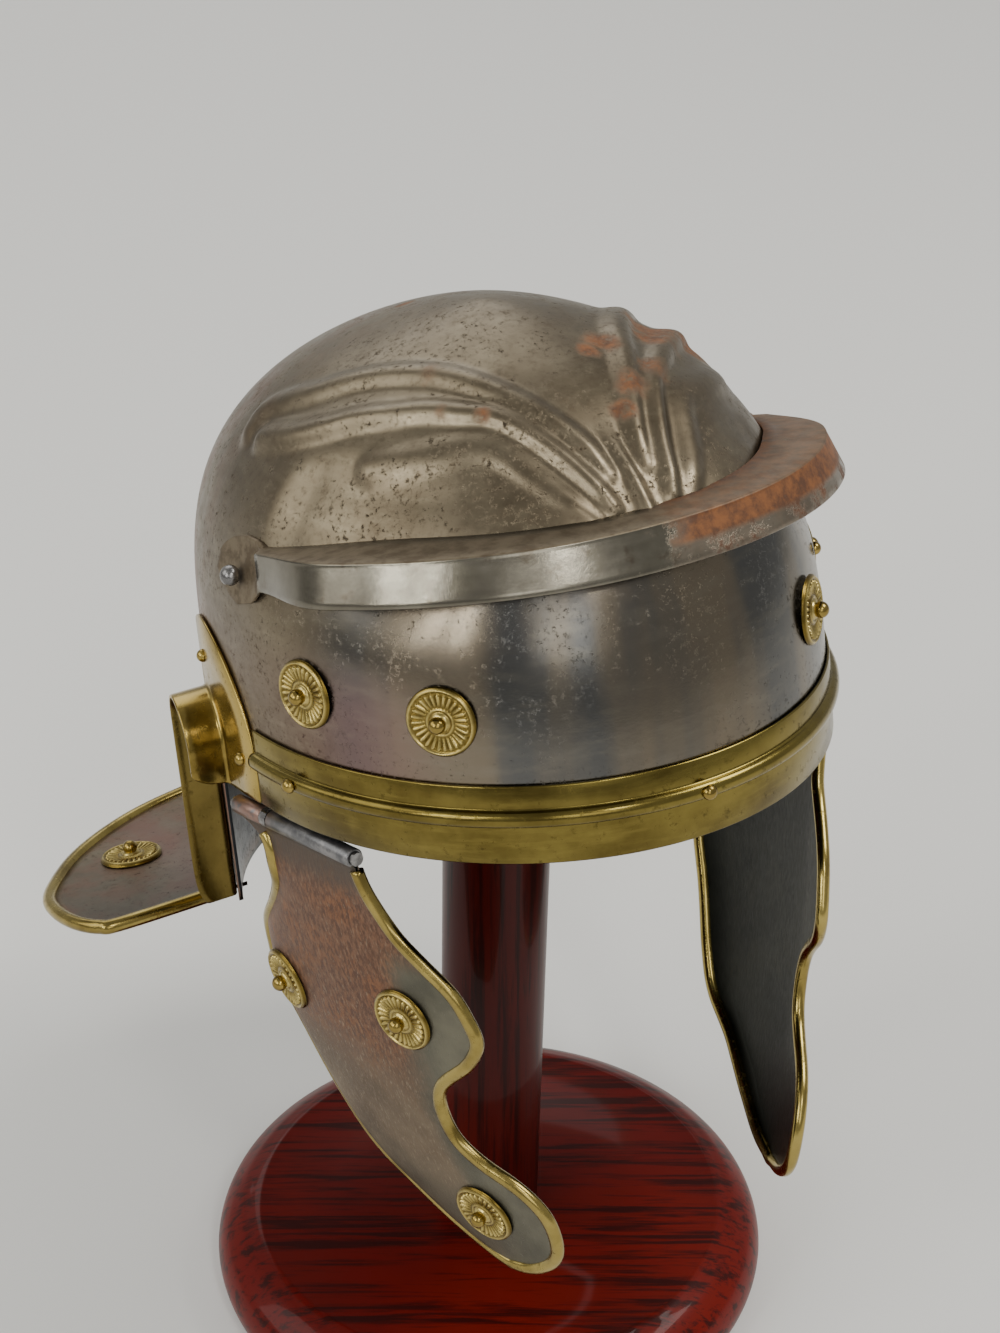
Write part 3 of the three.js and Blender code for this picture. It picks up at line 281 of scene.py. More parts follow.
class Nodes:
    """Small helper for procedural materials."""

    def __init__(self, name):
        self.material = bpy.data.materials.new(name)
        self.material.use_nodes = True
        self.tree = self.material.node_tree
        self.shader = self.tree.nodes["Principled BSDF"]
        coord = self.tree.nodes.new("ShaderNodeTexCoord")
        self.coord, self.normal = coord.outputs["Object"], coord.outputs["Normal"]

    def node(self, kind, **inputs):
        node = self.tree.nodes.new(kind)
        for key, value in inputs.items():
            self.put(node.inputs[key.replace("_", " ")], value)
        return node

    def put(self, socket, value):
        if isinstance(value, bpy.types.NodeSocket):
            self.tree.links.new(value, socket)
        else:
            if socket.type == "RGBA" and len(value) == 3:
                value = (*value, 1.0)
            socket.default_value = value

    def set(self, **inputs):
        for key, value in inputs.items():
            self.put(self.shader.inputs[key.replace("_", " ")], value)

    def mapped(self, scale=(1, 1, 1), rotation=(0, 0, 0), vector=None):
        node = self.node("ShaderNodeMapping", Vector=vector or self.coord)
        node.inputs["Scale"].default_value = scale
        node.inputs["Rotation"].default_value = rotation
        return node.outputs["Vector"]

    def noise(self, scale, detail=4.0, roughness=0.55, vector=None, distortion=0.0):
        node = self.node("ShaderNodeTexNoise", Vector=vector or self.coord)
        node.inputs["Scale"].default_value = scale
        node.inputs["Detail"].default_value = detail
        node.inputs["Roughness"].default_value = roughness
        node.inputs["Distortion"].default_value = distortion
        return node.outputs["Fac"]

    def math(self, operation, a, b=0.0, c=0.0, clamp=False):
        node = self.tree.nodes.new("ShaderNodeMath")
        node.operation = operation
        node.use_clamp = clamp
        for socket, value in zip(node.inputs, (a, b, c)):
            self.put(socket, value)
        return node.outputs[0]

    def times(self, a, b):
        return self.math("MULTIPLY", a, b)

    def plus(self, a, b, clamp=False):
        return self.math("ADD", a, b, clamp=clamp)

    def less(self, a, b):
        return self.math("SUBTRACT", a, b)

    def most(self, a, b):
        return self.math("MAXIMUM", a, b)

    def line(self, value, slope, base):
        return self.math("MULTIPLY_ADD", value, slope, base)

    def step(self, value, lo, hi):
        """0 under lo, 1 over hi, smooth between."""
        node = self.node("ShaderNodeMapRange", Value=value)
        node.interpolation_type = "SMOOTHSTEP"
        node.inputs["From Min"].default_value = lo
        node.inputs["From Max"].default_value = hi
        return node.outputs["Result"]

    def fade(self, value, lo, hi):
        return self.less(1.0, self.step(value, lo, hi))

    def mix(self, factor, a, b):
        node = self.tree.nodes.new("ShaderNodeMix")
        node.data_type = "RGBA"
        node.clamp_factor = True
        self.put(node.inputs[0], factor)
        self.put(node.inputs[6], a)
        self.put(node.inputs[7], b)
        return node.outputs[2]

    def blend(self, factor, a, b):
        node = self.tree.nodes.new("ShaderNodeMix")
        node.clamp_factor = True
        self.put(node.inputs[0], factor)
        self.put(node.inputs[2], a)
        self.put(node.inputs[3], b)
        return node.outputs[0]

    def axis(self, which, vector=None):
        node = self.node("ShaderNodeSeparateXYZ", Vector=vector or self.coord)
        return node.outputs[which]

    def spot(self, centre, radius, soft=0.5, wobble=0.35, scale=60.0):
        """A ragged patch round a point of the object's own frame, in metres."""
        away = self.node("ShaderNodeVectorMath")
        away.operation = "DISTANCE"
        self.put(away.inputs[0], self.coord)
        away.inputs[1].default_value = centre
        ragged = self.line(self.noise(scale, 6.0, 0.65), 2 * wobble * radius, -wobble * radius)
        reach = self.plus(away.outputs["Value"], ragged)
        return self.fade(reach, radius * (1 - soft), radius)

    def bump(self, height, strength, distance=0.001, normal=None):
        node = self.node("ShaderNodeBump", Height=height)
        node.inputs["Strength"].default_value = strength
        node.inputs["Distance"].default_value = distance
        if normal is not None:
            self.put(node.inputs["Normal"], normal)
        return node.outputs["Normal"]


# Rust on the crown, metres of the helmet's frame: middle and reach of each patch
RUST_SPOTS = (
    ((0.052, -0.022, 0.133), 0.015), ((0.064, -0.024, 0.125), 0.013), ((0.044, -0.034, 0.134), 0.010),
    ((0.022, -0.040, 0.1408), 0.0085), ((0.014, -0.044, 0.1408), 0.0055), ((0.018, -0.063, 0.1323), 0.008),
    ((0.030, -0.054, 0.132), 0.008), ((0.009, -0.072, 0.1289), 0.006), ((-0.034, -0.028, 0.139), 0.006),
    ((-0.041, -0.045, 0.133), 0.004), ((-0.032, -0.056, 0.1323), 0.004), ((-0.010, 0.038, 0.145), 0.005),
)


def steel_bowl():
    n = Nodes("bowl_aged_steel")
    x, y, z = (n.axis(k) for k in range(3))
    clouds = n.noise(14.0, 5.0, 0.6)
    small = n.noise(130.0, 6.0, 0.7)
    tiny = n.noise(420.0, 5.0, 0.7)
    brushed = n.noise(60.0, 6.0, 0.65, n.mapped((1.0, 1.0, 3.5), rotation=(0.5, 0.2, 0.3)))
    bands = n.noise(24.0, 3.0, 0.5, n.mapped((1.5, 1.5, 0.12)))
    # Smooth polished zone under the brow guard, brown-grey patina over it and on the rear half
    guard_line = n.line(y, -0.16, 0.078)
    over = n.step(n.less(z, guard_line), -0.002, 0.003)
    edge = n.line(n.less(clouds, 0.5), 0.05, -0.052)
    behind = n.step(n.less(y, edge), -0.012, 0.030)
    patina = n.most(over, behind)
    polished = n.mix(n.step(bands, 0.38, 0.62), (0.103, 0.102, 0.099), (0.182, 0.152, 0.113))
    polished = n.mix(n.times(n.step(brushed, 0.45, 0.72), 0.25), polished, (0.235, 0.215, 0.172))
    brown = n.mix(n.step(clouds, 0.3, 0.72), (0.135, 0.107, 0.071), (0.215, 0.179, 0.124))
    brown = n.mix(n.times(n.step(brushed, 0.48, 0.72), 0.40), brown, (0.275, 0.235, 0.163))
    brown = n.mix(n.times(n.step(small, 0.54, 0.72), 0.50), brown, (0.085, 0.061, 0.037))
    brown = n.mix(n.times(n.step(tiny, 0.50, 0.66), 0.30), brown, (0.075, 0.056, 0.038))
    colour = n.mix(patina, polished, brown)
    # Rear half: rosy light rust
    rose = n.times(n.step(y, 0.01, 0.08), n.step(n.noise(60.0, 6.0, 0.7, n.mapped((1, 1, 0.45))), 0.40, 0.62))
    colour = n.mix(n.times(rose, 0.62), colour, (0.205, 0.104, 0.066))
    # Fine dark pits, denser on the crown and behind the guard's end
    pits = n.times(n.step(n.noise(520.0, 6.0, 0.8), 0.56, 0.66), n.step(n.noise(48.0, 3.0), 0.42, 0.56))
    big = n.times(n.step(n.noise(210.0, 6.0, 0.78), 0.60, 0.68), n.step(clouds, 0.40, 0.52))
    pits = n.times(n.most(pits, big), n.blend(patina, 0.35, 1.0))
    colour = n.mix(n.times(pits, 0.80), colour, (0.04, 0.03, 0.021))
    # Rust on the crown's front, brightest on the far side
    rust = n.spot(RUST_SPOTS[0][0], RUST_SPOTS[0][1], 0.7, 0.7, 110.0)
    for centre, radius in RUST_SPOTS[1:]:
        rust = n.most(rust, n.spot(centre, radius, 0.7, 0.75, 120.0))
    broken = n.step(n.noise(240.0, 6.0, 0.75), 0.34, 0.52)
    rust = n.times(rust, n.line(broken, 0.75, 0.25))
    flaky = n.step(n.noise(200.0, 6.0, 0.7), 0.35, 0.65)
    rust_tone = n.mix(flaky, (0.078, 0.027, 0.007), (0.205, 0.068, 0.014))
    colour = n.mix(n.times(rust, 0.92), colour, rust_tone)
    heat = n.times(n.fade(n.math("ABSOLUTE", n.plus(x, 0.088)), 0.0, 0.02), n.fade(z, 0.045, 0.07))
    colour = n.mix(n.times(heat, 0.22), colour, (0.26, 0.087, 0.109))
    # Painted shade: faces toward the head, and faces turned down low on the bowl, are painted dark blue-black
    outward = n.node("ShaderNodeVectorMath")
    outward.operation = "DOT_PRODUCT"
    n.put(outward.inputs[0], n.normal)
    n.put(outward.inputs[1], n.mapped((1, 1, 0.6)))
    inside = n.times(n.fade(outward.outputs["Value"], -0.02, 0.0), n.step(z, -0.075, -0.060))
    under = n.times(n.fade(n.axis(2, n.normal), -0.7, -0.4), n.fade(z, -0.05, -0.03))
    inside = n.most(inside, under)
    dark = n.mix(n.step(clouds, 0.35, 0.65), (0.02, 0.023, 0.027), (0.05, 0.056, 0.063))
    colour = n.mix(inside, colour, dark)
    rough = n.blend(patina, n.line(bands, 0.10, 0.17), 0.37)
    rough = n.plus(rough, n.times(n.less(small, 0.5), n.blend(patina, 0.10, 0.36)))
    rough = n.plus(rough, n.times(n.most(rust, pits), 0.32), clamp=True)
    metal = n.less(1.0, n.times(rust, 0.95))
    n.set(Base_Color=colour, Metallic=metal, Roughness=rough)
    normal = n.bump(brushed, 0.05, 0.0004)
    normal = n.bump(small, 0.16, 0.0004, normal)
    normal = n.bump(n.less(1.0, pits), 0.35, 0.0004, normal)
    dents = n.noise(17.0, 2.0)
    n.set(Normal=n.bump(dents, 0.30, 0.002, normal))
    return n.material


def steel_guard():
    n = Nodes("guard_rusted_steel")
    x, y, z = (n.axis(k) for k in range(3))
    small = n.noise(150.0, 6.0, 0.7)
    clouds = n.noise(30.0, 5.0, 0.6)
    streaks = n.noise(60.0, 5.0, 0.6, n.mapped((0.4, 0.4, 8)))
    steel = n.mix(n.step(clouds, 0.35, 0.7), (0.142, 0.129, 0.102), (0.238, 0.221, 0.178))
    steel = n.mix(n.times(n.step(small, 0.55, 0.7), 0.5), steel, (0.092, 0.067, 0.044))
    # Top flange and the tabs on the bowl are brown-grey
    up = n.step(n.axis(2, n.node("ShaderNodeNewGeometry").outputs["Normal"]), 0.55, 0.8)
    tab = n.step(y, -0.0165, -0.0145)
    dull = n.most(n.times(up, 0.85), n.times(tab, 0.95))
    steel = n.mix(dull, steel, n.mix(n.step(small, 0.42, 0.62), (0.2, 0.16, 0.108), (0.122, 0.091, 0.058)))
    # Heavy rust over the front and the far side, with bare silvery flakes along the lower edge
    reach = n.step(n.plus(x, n.times(n.less(clouds, 0.5), 0.05)), -0.016, 0.014)
    grain = n.noise(95.0, 7.0, 0.74)
    rust = n.times(reach, n.step(n.plus(grain, n.times(reach, 0.20)), 0.46, 0.58))
    low_edge = n.less(z, n.line(y, -0.115, 0.0815))
    bare_edge = n.times(n.fade(low_edge, 0.0015, 0.0042), n.step(grain, 0.38, 0.52))
    rust = n.times(rust, n.less(1.0, n.times(bare_edge, 0.8)))
    rust = n.times(rust, n.blend(up, 1.0, 0.5))
    rust = n.most(rust, n.times(n.step(grain, 0.66, 0.76), 0.35))
    tone = n.mix(n.step(n.noise(190.0, 6.0, 0.7), 0.35, 0.66), (0.078, 0.027, 0.008), (0.205, 0.072, 0.017))
    colour = n.mix(rust, steel, tone)
    rough = n.plus(n.times(streaks, 0.16), n.times(n.most(rust, dull), 0.36))
    n.set(Base_Color=colour, Metallic=n.less(1.0, n.times(rust, 0.95)))
    n.set(Roughness=n.plus(rough, 0.15, clamp=True))
    normal = n.bump(rust, 0.5, 0.0005)
    normal = n.bump(small, 0.22, 0.0004, normal)
    n.set(Normal=n.bump(n.noise(22.0, 2.0), 0.30, 0.002, normal))
    return n.material


def steel_cheek():
    n = Nodes("cheek_rusted_steel")
    y, z = n.axis(1), n.axis(2)
    # Outside is rusted; the face toward the head is painted near-black as painted shade
    facing = n.axis(0, n.normal)
    outside = n.step(n.times(facing, n.math("SIGN", n.axis(0))), -0.05, 0.1)
    clouds = n.noise(24.0, 5.0, 0.6)
    speck = n.noise(480.0, 6.0, 0.72, n.mapped((1, 1.5, 0.6), rotation=(0.7, 0, 0)))
    pale = n.noise(620.0, 5.0, 0.72, n.mapped((1, 2.2, 0.55), rotation=(0.7, 0, 0)))
    orange = n.step(n.noise(42.0, 4.0, 0.6), 0.42, 0.62)
    bright = n.mix(orange, (0.172, 0.089, 0.052), (0.215, 0.092, 0.04))
    rust = n.mix(n.step(speck, 0.38, 0.62), (0.082, 0.035, 0.019), bright)
    steel = n.mix(n.step(clouds, 0.35, 0.65), (0.088, 0.084, 0.064), (0.163, 0.153, 0.113))
    brown = n.mix(n.step(clouds, 0.35, 0.65), (0.107, 0.074, 0.044), (0.176, 0.131, 0.083))
    # The front margin and the tip are bare, the middle is rusted
    wave = n.times(n.less(clouds, 0.5), 0.03)
    front = n.fade(n.plus(y, wave), -0.060, -0.044)
    bare = n.times(front, n.fade(z, -0.050, -0.036))
    bare = n.most(bare, n.times(n.fade(n.plus(z, wave), -0.150, -0.125), 0.75))
    top = n.step(n.plus(z, n.times(wave, 0.66)), -0.026, -0.013)
    colour = n.mix(n.fade(n.plus(z, wave), -0.115, -0.075), rust, brown)
    flecks = n.times(n.step(pale, 0.55, 0.66), n.blend(n.fade(z, -0.09, -0.05), 0.35, 0.70))
    colour = n.mix(flecks, colour, (0.335, 0.265, 0.183))
    colour = n.mix(bare, colour, steel)
    colour = n.mix(n.times(top, 0.8), colour, (0.09, 0.078, 0.065))
    # Painted shade: near-black colour for the face toward the head
    inner = n.mix(n.step(clouds, 0.35, 0.7), (0.016, 0.018, 0.014), (0.031, 0.033, 0.025))
    colour = n.mix(outside, inner, colour)
    metal = n.blend(n.most(bare, top), 0.60, 0.95)
    rough = n.blend(bare, 0.46, 0.32)
    rough = n.plus(rough, n.times(n.less(speck, 0.5), 0.35), clamp=True)
    n.set(Base_Color=colour, Metallic=metal, Roughness=rough)
    normal = n.bump(speck, 0.28, 0.0004)
    n.set(Normal=n.bump(pale, 0.20, 0.0003, normal))
    return n.material


def dark_steel():
    n = Nodes("dark_steel")
    small = n.noise(260.0, 5.0, 0.6)
    colour = n.mix(n.step(small, 0.4, 0.65), (0.15, 0.145, 0.145), (0.31, 0.30, 0.295))
    n.set(Base_Color=colour, Metallic=0.95, Roughness=n.line(small, 0.25, 0.16))
    n.set(Normal=n.bump(small, 0.15, 0.0003))
    return n.material


def knuckle_steel():
    """Rolled knuckles: dark steel, rosy rust toward the rear end."""
    n = Nodes("knuckle_steel")
    small = n.noise(210.0, 6.0, 0.7)
    steel = n.mix(n.step(small, 0.4, 0.65), (0.120, 0.120, 0.125), (0.235, 0.228, 0.228))
    rust = n.times(n.step(n.axis(1), -0.012, 0.002), n.step(small, 0.34, 0.5))
    colour = n.mix(n.times(rust, 0.85), steel, (0.255, 0.150, 0.115))
    n.set(Base_Color=colour, Metallic=0.85, Roughness=n.line(small, 0.3, 0.22))
    n.set(Normal=n.bump(small, 0.25, 0.0003))
    return n.material


def brass(name, light=(0.43, 0.315, 0.092), deep=(0.165, 0.115, 0.028), rough=0.22, along=(1, 1, 1)):
    n = Nodes(name)
    clouds = n.noise(26.0, 5.0, 0.6)
    streaks = n.noise(70.0, 5.0, 0.6, n.mapped(along))
    small = n.noise(300.0, 5.0, 0.65)
    colour = n.mix(n.step(clouds, 0.32, 0.68), deep, light)
    colour = n.mix(n.times(n.step(streaks, 0.45, 0.7), 0.35), colour, tuple(min(1, c * 1.25) for c in light))
    colour = n.mix(n.times(n.step(small, 0.58, 0.72), 0.5), colour, tuple(c * 0.45 for c in deep))
    tone = n.line(streaks, 0.16, rough - 0.08)
    # Painted shade: the inner faces of the ear flanges are painted dark olive
    deep_y = n.less(n.axis(1), EAR_CENTRE * MM)
    flange_shade = n.fade(n.times(n.axis(1, n.normal), n.math("SIGN", deep_y)), -0.6, -0.2)
    flange_shade = n.times(flange_shade, n.step(deep_y, -0.02, -0.015))
    flange_shade = n.times(flange_shade, n.fade(deep_y, 0.018, 0.021))
    colour = n.mix(n.times(flange_shade, 0.72), colour, (0.070, 0.052, 0.016))
    n.set(Base_Color=colour, Metallic=1.0, Roughness=n.plus(tone, n.times(n.step(small, 0.55, 0.72), 0.2)))
    normal = n.bump(small, 0.12, 0.0003)
    n.set(Normal=n.bump(n.noise(40.0, 2.0), 0.18, 0.0012, normal))
    return n.material


def rosette_brass():
    n = Nodes("rosette_brass")
    z = n.axis(2)
    small = n.noise(420.0, 5.0, 0.65)
    high = n.step(z, 0.0008, 0.0017)
    colour = n.mix(high, (0.145, 0.100, 0.022), (0.50, 0.395, 0.140))
    colour = n.mix(n.times(n.step(small, 0.52, 0.7), 0.5), colour, (0.13, 0.09, 0.03))
    n.set(Base_Color=colour, Metallic=1.0, Roughness=n.line(small, 0.25, 0.16))
    n.set(Normal=n.bump(small, 0.12, 0.0002))
    return n.material


# The boards of the base lie across the view, this far from the X axis
GRAIN_TURN = math.radians(29.7)


def lacquer(name, upright, deep, light):
    n = Nodes(name)
    lying = n.coord if upright else n.mapped(rotation=(0, 0, GRAIN_TURN))
    stretched = n.mapped((26, 26, 1.2) if upright else (1.5, 26, 26), vector=lying)
    grain = n.noise(9.0, 6.0, 0.62, stretched, 0.35)
    fine = n.noise(26.0, 5.0, 0.6, stretched)
    cloud = n.noise(6.0, 3.0, 0.5)
    red = n.mix(n.step(cloud, 0.3, 0.7), deep, light)
    colour = n.mix(n.times(n.step(grain, 0.47, 0.62), 0.85), red, (0.018, 0.0032, 0.0026))
    colour = n.mix(n.times(n.step(fine, 0.56, 0.7), 0.5), colour, (0.012, 0.003, 0.0025))
    n.set(Base_Color=colour, Roughness=0.34)
    n.shader.inputs["Specular IOR Level"].default_value = 0.10
    n.shader.inputs["Coat Weight"].default_value = 0.14
    n.shader.inputs["Coat Roughness"].default_value = 0.05
    n.set(Normal=n.bump(grain, 0.03, 0.0003))
    return n.material


BOWL_STEEL = steel_bowl()
GUARD_STEEL = steel_guard()
CHEEK_STEEL = steel_cheek()
DARK_STEEL = dark_steel()
KNUCKLE_STEEL = knuckle_steel()
BRASS = brass("aged_brass")
BAND_BRASS = brass("band_brass", (0.215, 0.168, 0.044), (0.100, 0.073, 0.018), 0.21, (0.6, 0.6, 5))
EDGE_BRASS = brass("edging_brass", (0.41, 0.32, 0.100), (0.18, 0.13, 0.036), 0.22)
ROSETTE_BRASS = rosette_brass()
BASE_WOOD = lacquer("base_lacquered_wood", False, (0.082, 0.0034, 0.0022), (0.142, 0.0070, 0.0034))
POST_WOOD = lacquer("post_lacquered_wood", True, (0.052, 0.0036, 0.0026), (0.088, 0.0070, 0.0038))

# Bowl, nape wall and neck guard

NECK_SLOPE = math.radians(5.4)
NECK_START, NECK_DROP, NECK_HALF, NECK_REACH, RIM_RADIUS = 72.0, 68.0, 148.0, 126.0, 2.7
NECK_OUTLINE = [
    (0.56, 0), (0.9, 0.0), (0.955, 0.03), (0.99, 0.12), (1, 0.24), (0.985, 0.36), (0.93, 0.48), (0.83, 0.635),
    (0.7, 0.77), (0.56, 0.87), (0.4, 0.935), (0.2, 0.985), (0, 1),
]


def on_neck(x, run, lift):
    return np.array([
        x,
        NECK_START + run * math.cos(NECK_SLOPE) + lift * math.sin(NECK_SLOPE),
        -NECK_DROP - run * math.sin(NECK_SLOPE) + lift * math.cos(NECK_SLOPE),
    ])


def neck_line(shares, lift):
    """Middle line of the rim, from shares of the neck guard's half breadth and reach."""
    half, run = NECK_HALF - RIM_RADIUS, NECK_REACH - 2 * RIM_RADIUS
    return [on_neck(x * half, RIM_RADIUS + y * run, lift) for x, y in shares]


def arch_line(centre, half, spring, foot, steps=48):
    line = [(centre - half, foot)]
    for i in range(steps + 1):
        a = math.pi * (1 - i / steps)
        line.append((centre + half * math.cos(a), spring + half * math.sin(a)))
    line.append((centre + half + 2.5, -NECK_DROP))
    return line


def prism(name, outline, width=400.0):
    """Solid cutter in millimetres: an outline in Y and Z pushed through along X."""
    n = len(outline)
    verts = [(-width, y, z) for y, z in outline] + [(width, y, z) for y, z in outline]
    faces = [tuple(range(n)), tuple(reversed(range(n, 2 * n)))]
    faces += [(i, n + i, n + (i + 1) % n, (i + 1) % n) for i in range(n)]
    mesh = to_mesh(name, verts, faces)
    cutter = bpy.data.objects.new(name, mesh)
    bpy.context.scene.collection.objects.link(cutter)
    fix_normals(mesh)
    return cutter


def fix_normals(mesh):
    bm = bmesh.new()
    bm.from_mesh(mesh)
    bmesh.ops.recalc_face_normals(bm, faces=bm.faces)
    bm.to_mesh(mesh)
    bm.free()


def cut(mesh, cutters):
    """Takes the cutters out of a mesh and gives back the new mesh."""
    carrier = bpy.data.objects.new("carrier", mesh)
    bpy.context.scene.collection.objects.link(carrier)
    for cutter in cutters:
        modifier = carrier.modifiers.new("cut", "BOOLEAN")
        modifier.operation = "DIFFERENCE"
        modifier.solver = "EXACT"
        modifier.object = cutter
    graph = bpy.context.evaluated_depsgraph_get()
    result = bpy.data.meshes.new_from_object(carrier.evaluated_get(graph))
    bpy.data.objects.remove(carrier)
    for cutter in cutters:
        bpy.data.objects.remove(cutter)
    return result


def shell_loops(grow, columns, rings):
    """Loops of the bowl from well under the nape up to the crown, with the relief of its brow."""
    heights = [-90.0, -60.0, -40.0, -20.0, 0.0, 9.0, 18.0, UPRIGHT]
    top = HEIGHT + grow
    rises = (math.sin(i / rings * math.pi / 2) ** 0.62 for i in range(1, rings))
    heights += [UPRIGHT + (top - UPRIGHT) * rise for rise in rises]
    turn = np.linspace(-1, 1, columns, endpoint=False)
    angle = np.pi * turn * (0.72 + 0.28 * turn ** 2)
    rows = []
    for z in heights:
        points = bowl_point(angle, z, grow)
        rows.append(points + bowl_out(points) * brow_relief(points)[..., None])
    return np.array(rows), top


def make_bowl():
    columns, rings = 340, 120
    outer, top = shell_loops(0.0, columns, rings)
    inner, inner_top = shell_loops(-WALL, columns, rings)
    rows = len(outer)
    verts = list(outer.reshape(-1, 3)) + [(0, 0, top)] + list(inner.reshape(-1, 3)) + [(0, 0, inner_top)]
    block = rows * columns + 1
    faces = []
    for base, flip in ((0, False), (block, True)):
        part = [tuple(i + base for i in f) for f in grid_faces(rows, columns, close_columns=True)]
        last = base + (rows - 1) * columns
        part += [(last + k, last + (k + 1) % columns, base + rows * columns) for k in range(columns)]
        faces += [tuple(reversed(f)) for f in part] if flip else part
    faces += [((k + 1) % columns, k, block + k, block + (k + 1) % columns) for k in range(columns)]
    mesh = to_mesh("bowl_sheet", verts, faces)
    fix_normals(mesh)
    front, rear = -300.0, 400.0
    ear = arch_line(EAR_CENTRE, EAR_HALF, EAR_SPRING, EAR_FOOT)
    opening = prism("opening", [(front, 0), (PLATE_CENTRE - PLATE_HALF, 0), *ear, (61, -400), (front, -400)])
    ends = [(y, on_neck(0, y - NECK_START, WALL / 2)[2]) for y in (front, rear)]
    mesh = cut(mesh, [opening, prism("under", [*ends, (rear, -400), (front, -400)])])
    mesh.polygons.foreach_set("use_smooth", [True] * len(mesh.polygons))
    mesh.materials.clear()
    mesh.materials.append(BOWL_STEEL)
    return mesh


def neck_sheet():
    """Neck guard: sheet from the nape wall out to its edging, flat on the guard's sloping plane."""
    across = []
    left = resample(neck_line(NECK_OUTLINE, 0), 90)
    rim = np.vstack([left[:-1], (left * [-1, 1, 1])[::-1]])
    rim = smooth_profile(rim, 241)
    columns = len(rim)
    for share in np.linspace(0, 1, 14):
        row = []
        for point in rim:
            angle = math.atan2(point[0], -point[1])
            near = bowl_point(angle, 0.0, -0.9)
            scale = min(1.0, math.hypot(near[0], near[1]) / math.hypot(point[0], point[1]))
            start = np.array([point[0] * scale, max(point[1] * scale, NECK_START + 1), 0.0])
            at = start + (point - start) * share
            at[2] = on_neck(0, (at[1] - NECK_START) / math.cos(NECK_SLOPE), 0)[2]
            row.append(at)
        across.append(row)
    top = np.array(across) + [0, 0, WALL]
    low = np.array(across)
    rows = len(across)
    verts = list(top.reshape(-1, 3)) + list(low.reshape(-1, 3))
    faces = grid_faces(rows, columns)
    faces += [tuple(reversed([i + rows * columns for i in f])) for f in grid_faces(rows, columns)]
    last = (rows - 1) * columns
    offset = rows * columns
    faces += [(last + k, last + k + 1, offset + last + k + 1, offset + last + k) for k in range(columns - 1)]
    faces += [(k + 1, k, offset + k, offset + k + 1) for k in range(columns - 1)]
    return verts, faces


place("bowl_skin", make_bowl(), ROOT, HELMET, ("bowl", "neck_guard"))
add_piece("neck_guard_sheet", *neck_sheet(), BOWL_STEEL, slot="bowl_steel")

# Neck guard edging
start = bowl_point(angle_at(NECK_START, 0.0), 0.0, 3.7)
edge = np.array([on_neck(start[0], RIM_RADIUS, WALL / 2), *neck_line(NECK_OUTLINE[1:], WALL / 2)])
edge = np.vstack([edge[:-1], (edge * [-1, 1, 1])[::-1]])
add_piece("neck_guard_rim", *sweep(smooth_profile(edge, 300), RIM_RADIUS), EDGE_BRASS, slot="brass",
          stands_for=("neck_guard_edging",))

# Brow band


# How far the band runs round each way, in degrees, and the height of its bead
BAND_TURN, BEAD_Z = 88.85, 16.0


def make_band():
    profile = [(1.0, 0.0), (1.3, 0.4), (1.3, 12.5), (1.32, 12.9)]
    for i in range(13):
        a = math.pi * i / 12
        profile.append((1.3 + 2.8 * math.sin(a) ** 0.8, BEAD_Z - 2.9 * math.cos(a)))
    profile += [(1.3, 19.3), (1.3, 26.5), (1.1, 27.0), (0.4, 27.0), (0.3, 26.5), (0.3, 0.4), (0.45, 0.0)]
    turns = np.radians(np.linspace(-BAND_TURN, BAND_TURN, 260))
    return loft([[bowl_point(angle, z, grow) for grow, z in profile] for angle in turns])


add_piece("brow_band_brass", *make_band(), BAND_BRASS, slot="brass", stands_for=("brow_band",))

# Brow guard


GUARD_FOLD, GUARD_MIDDLE, GUARD_REACH, GUARD_END = 86.0, -7.7, 106.0, 0.599 * HEIGHT
GUARD_HALF, GUARD_FACE, GUARD_FLARE, GUARD_TUCK, TUCK_DEGREES = 105.0, 13.5, 5.2, 5.6, 24.0
GUARD_SHEET, GUARD_CORNER = 1.4, 0.9
TAB_LENGTH, TAB_HEIGHT = 31.0, 23.0
# Run along the tab, how proud it stands, rise of its top and height, as shares
GUARD_TAB = [
    (0.08, 0.4, 0.06, 0.72), (0.15, 0.05, 0.1, 0.84), (0.25, 0, 0.12, 0.9), (0.45, 0, 0.11, 0.98),
    (0.6, 0, 0.06, 0.88), (0.75, 0, 0, 0.72), (0.9, 0, -0.12, 0.50), (0.97, 0, -0.2, 0.37),
    (1, 0, -0.25, 0.3),
]


def on_tab(run, z, proud):
    fold = GUARD_MIDDLE - GUARD_REACH * math.cos(math.radians(GUARD_FOLD))
    return bowl_point(angle_at(fold + run * TAB_LENGTH, z), z, 1.7 + proud)


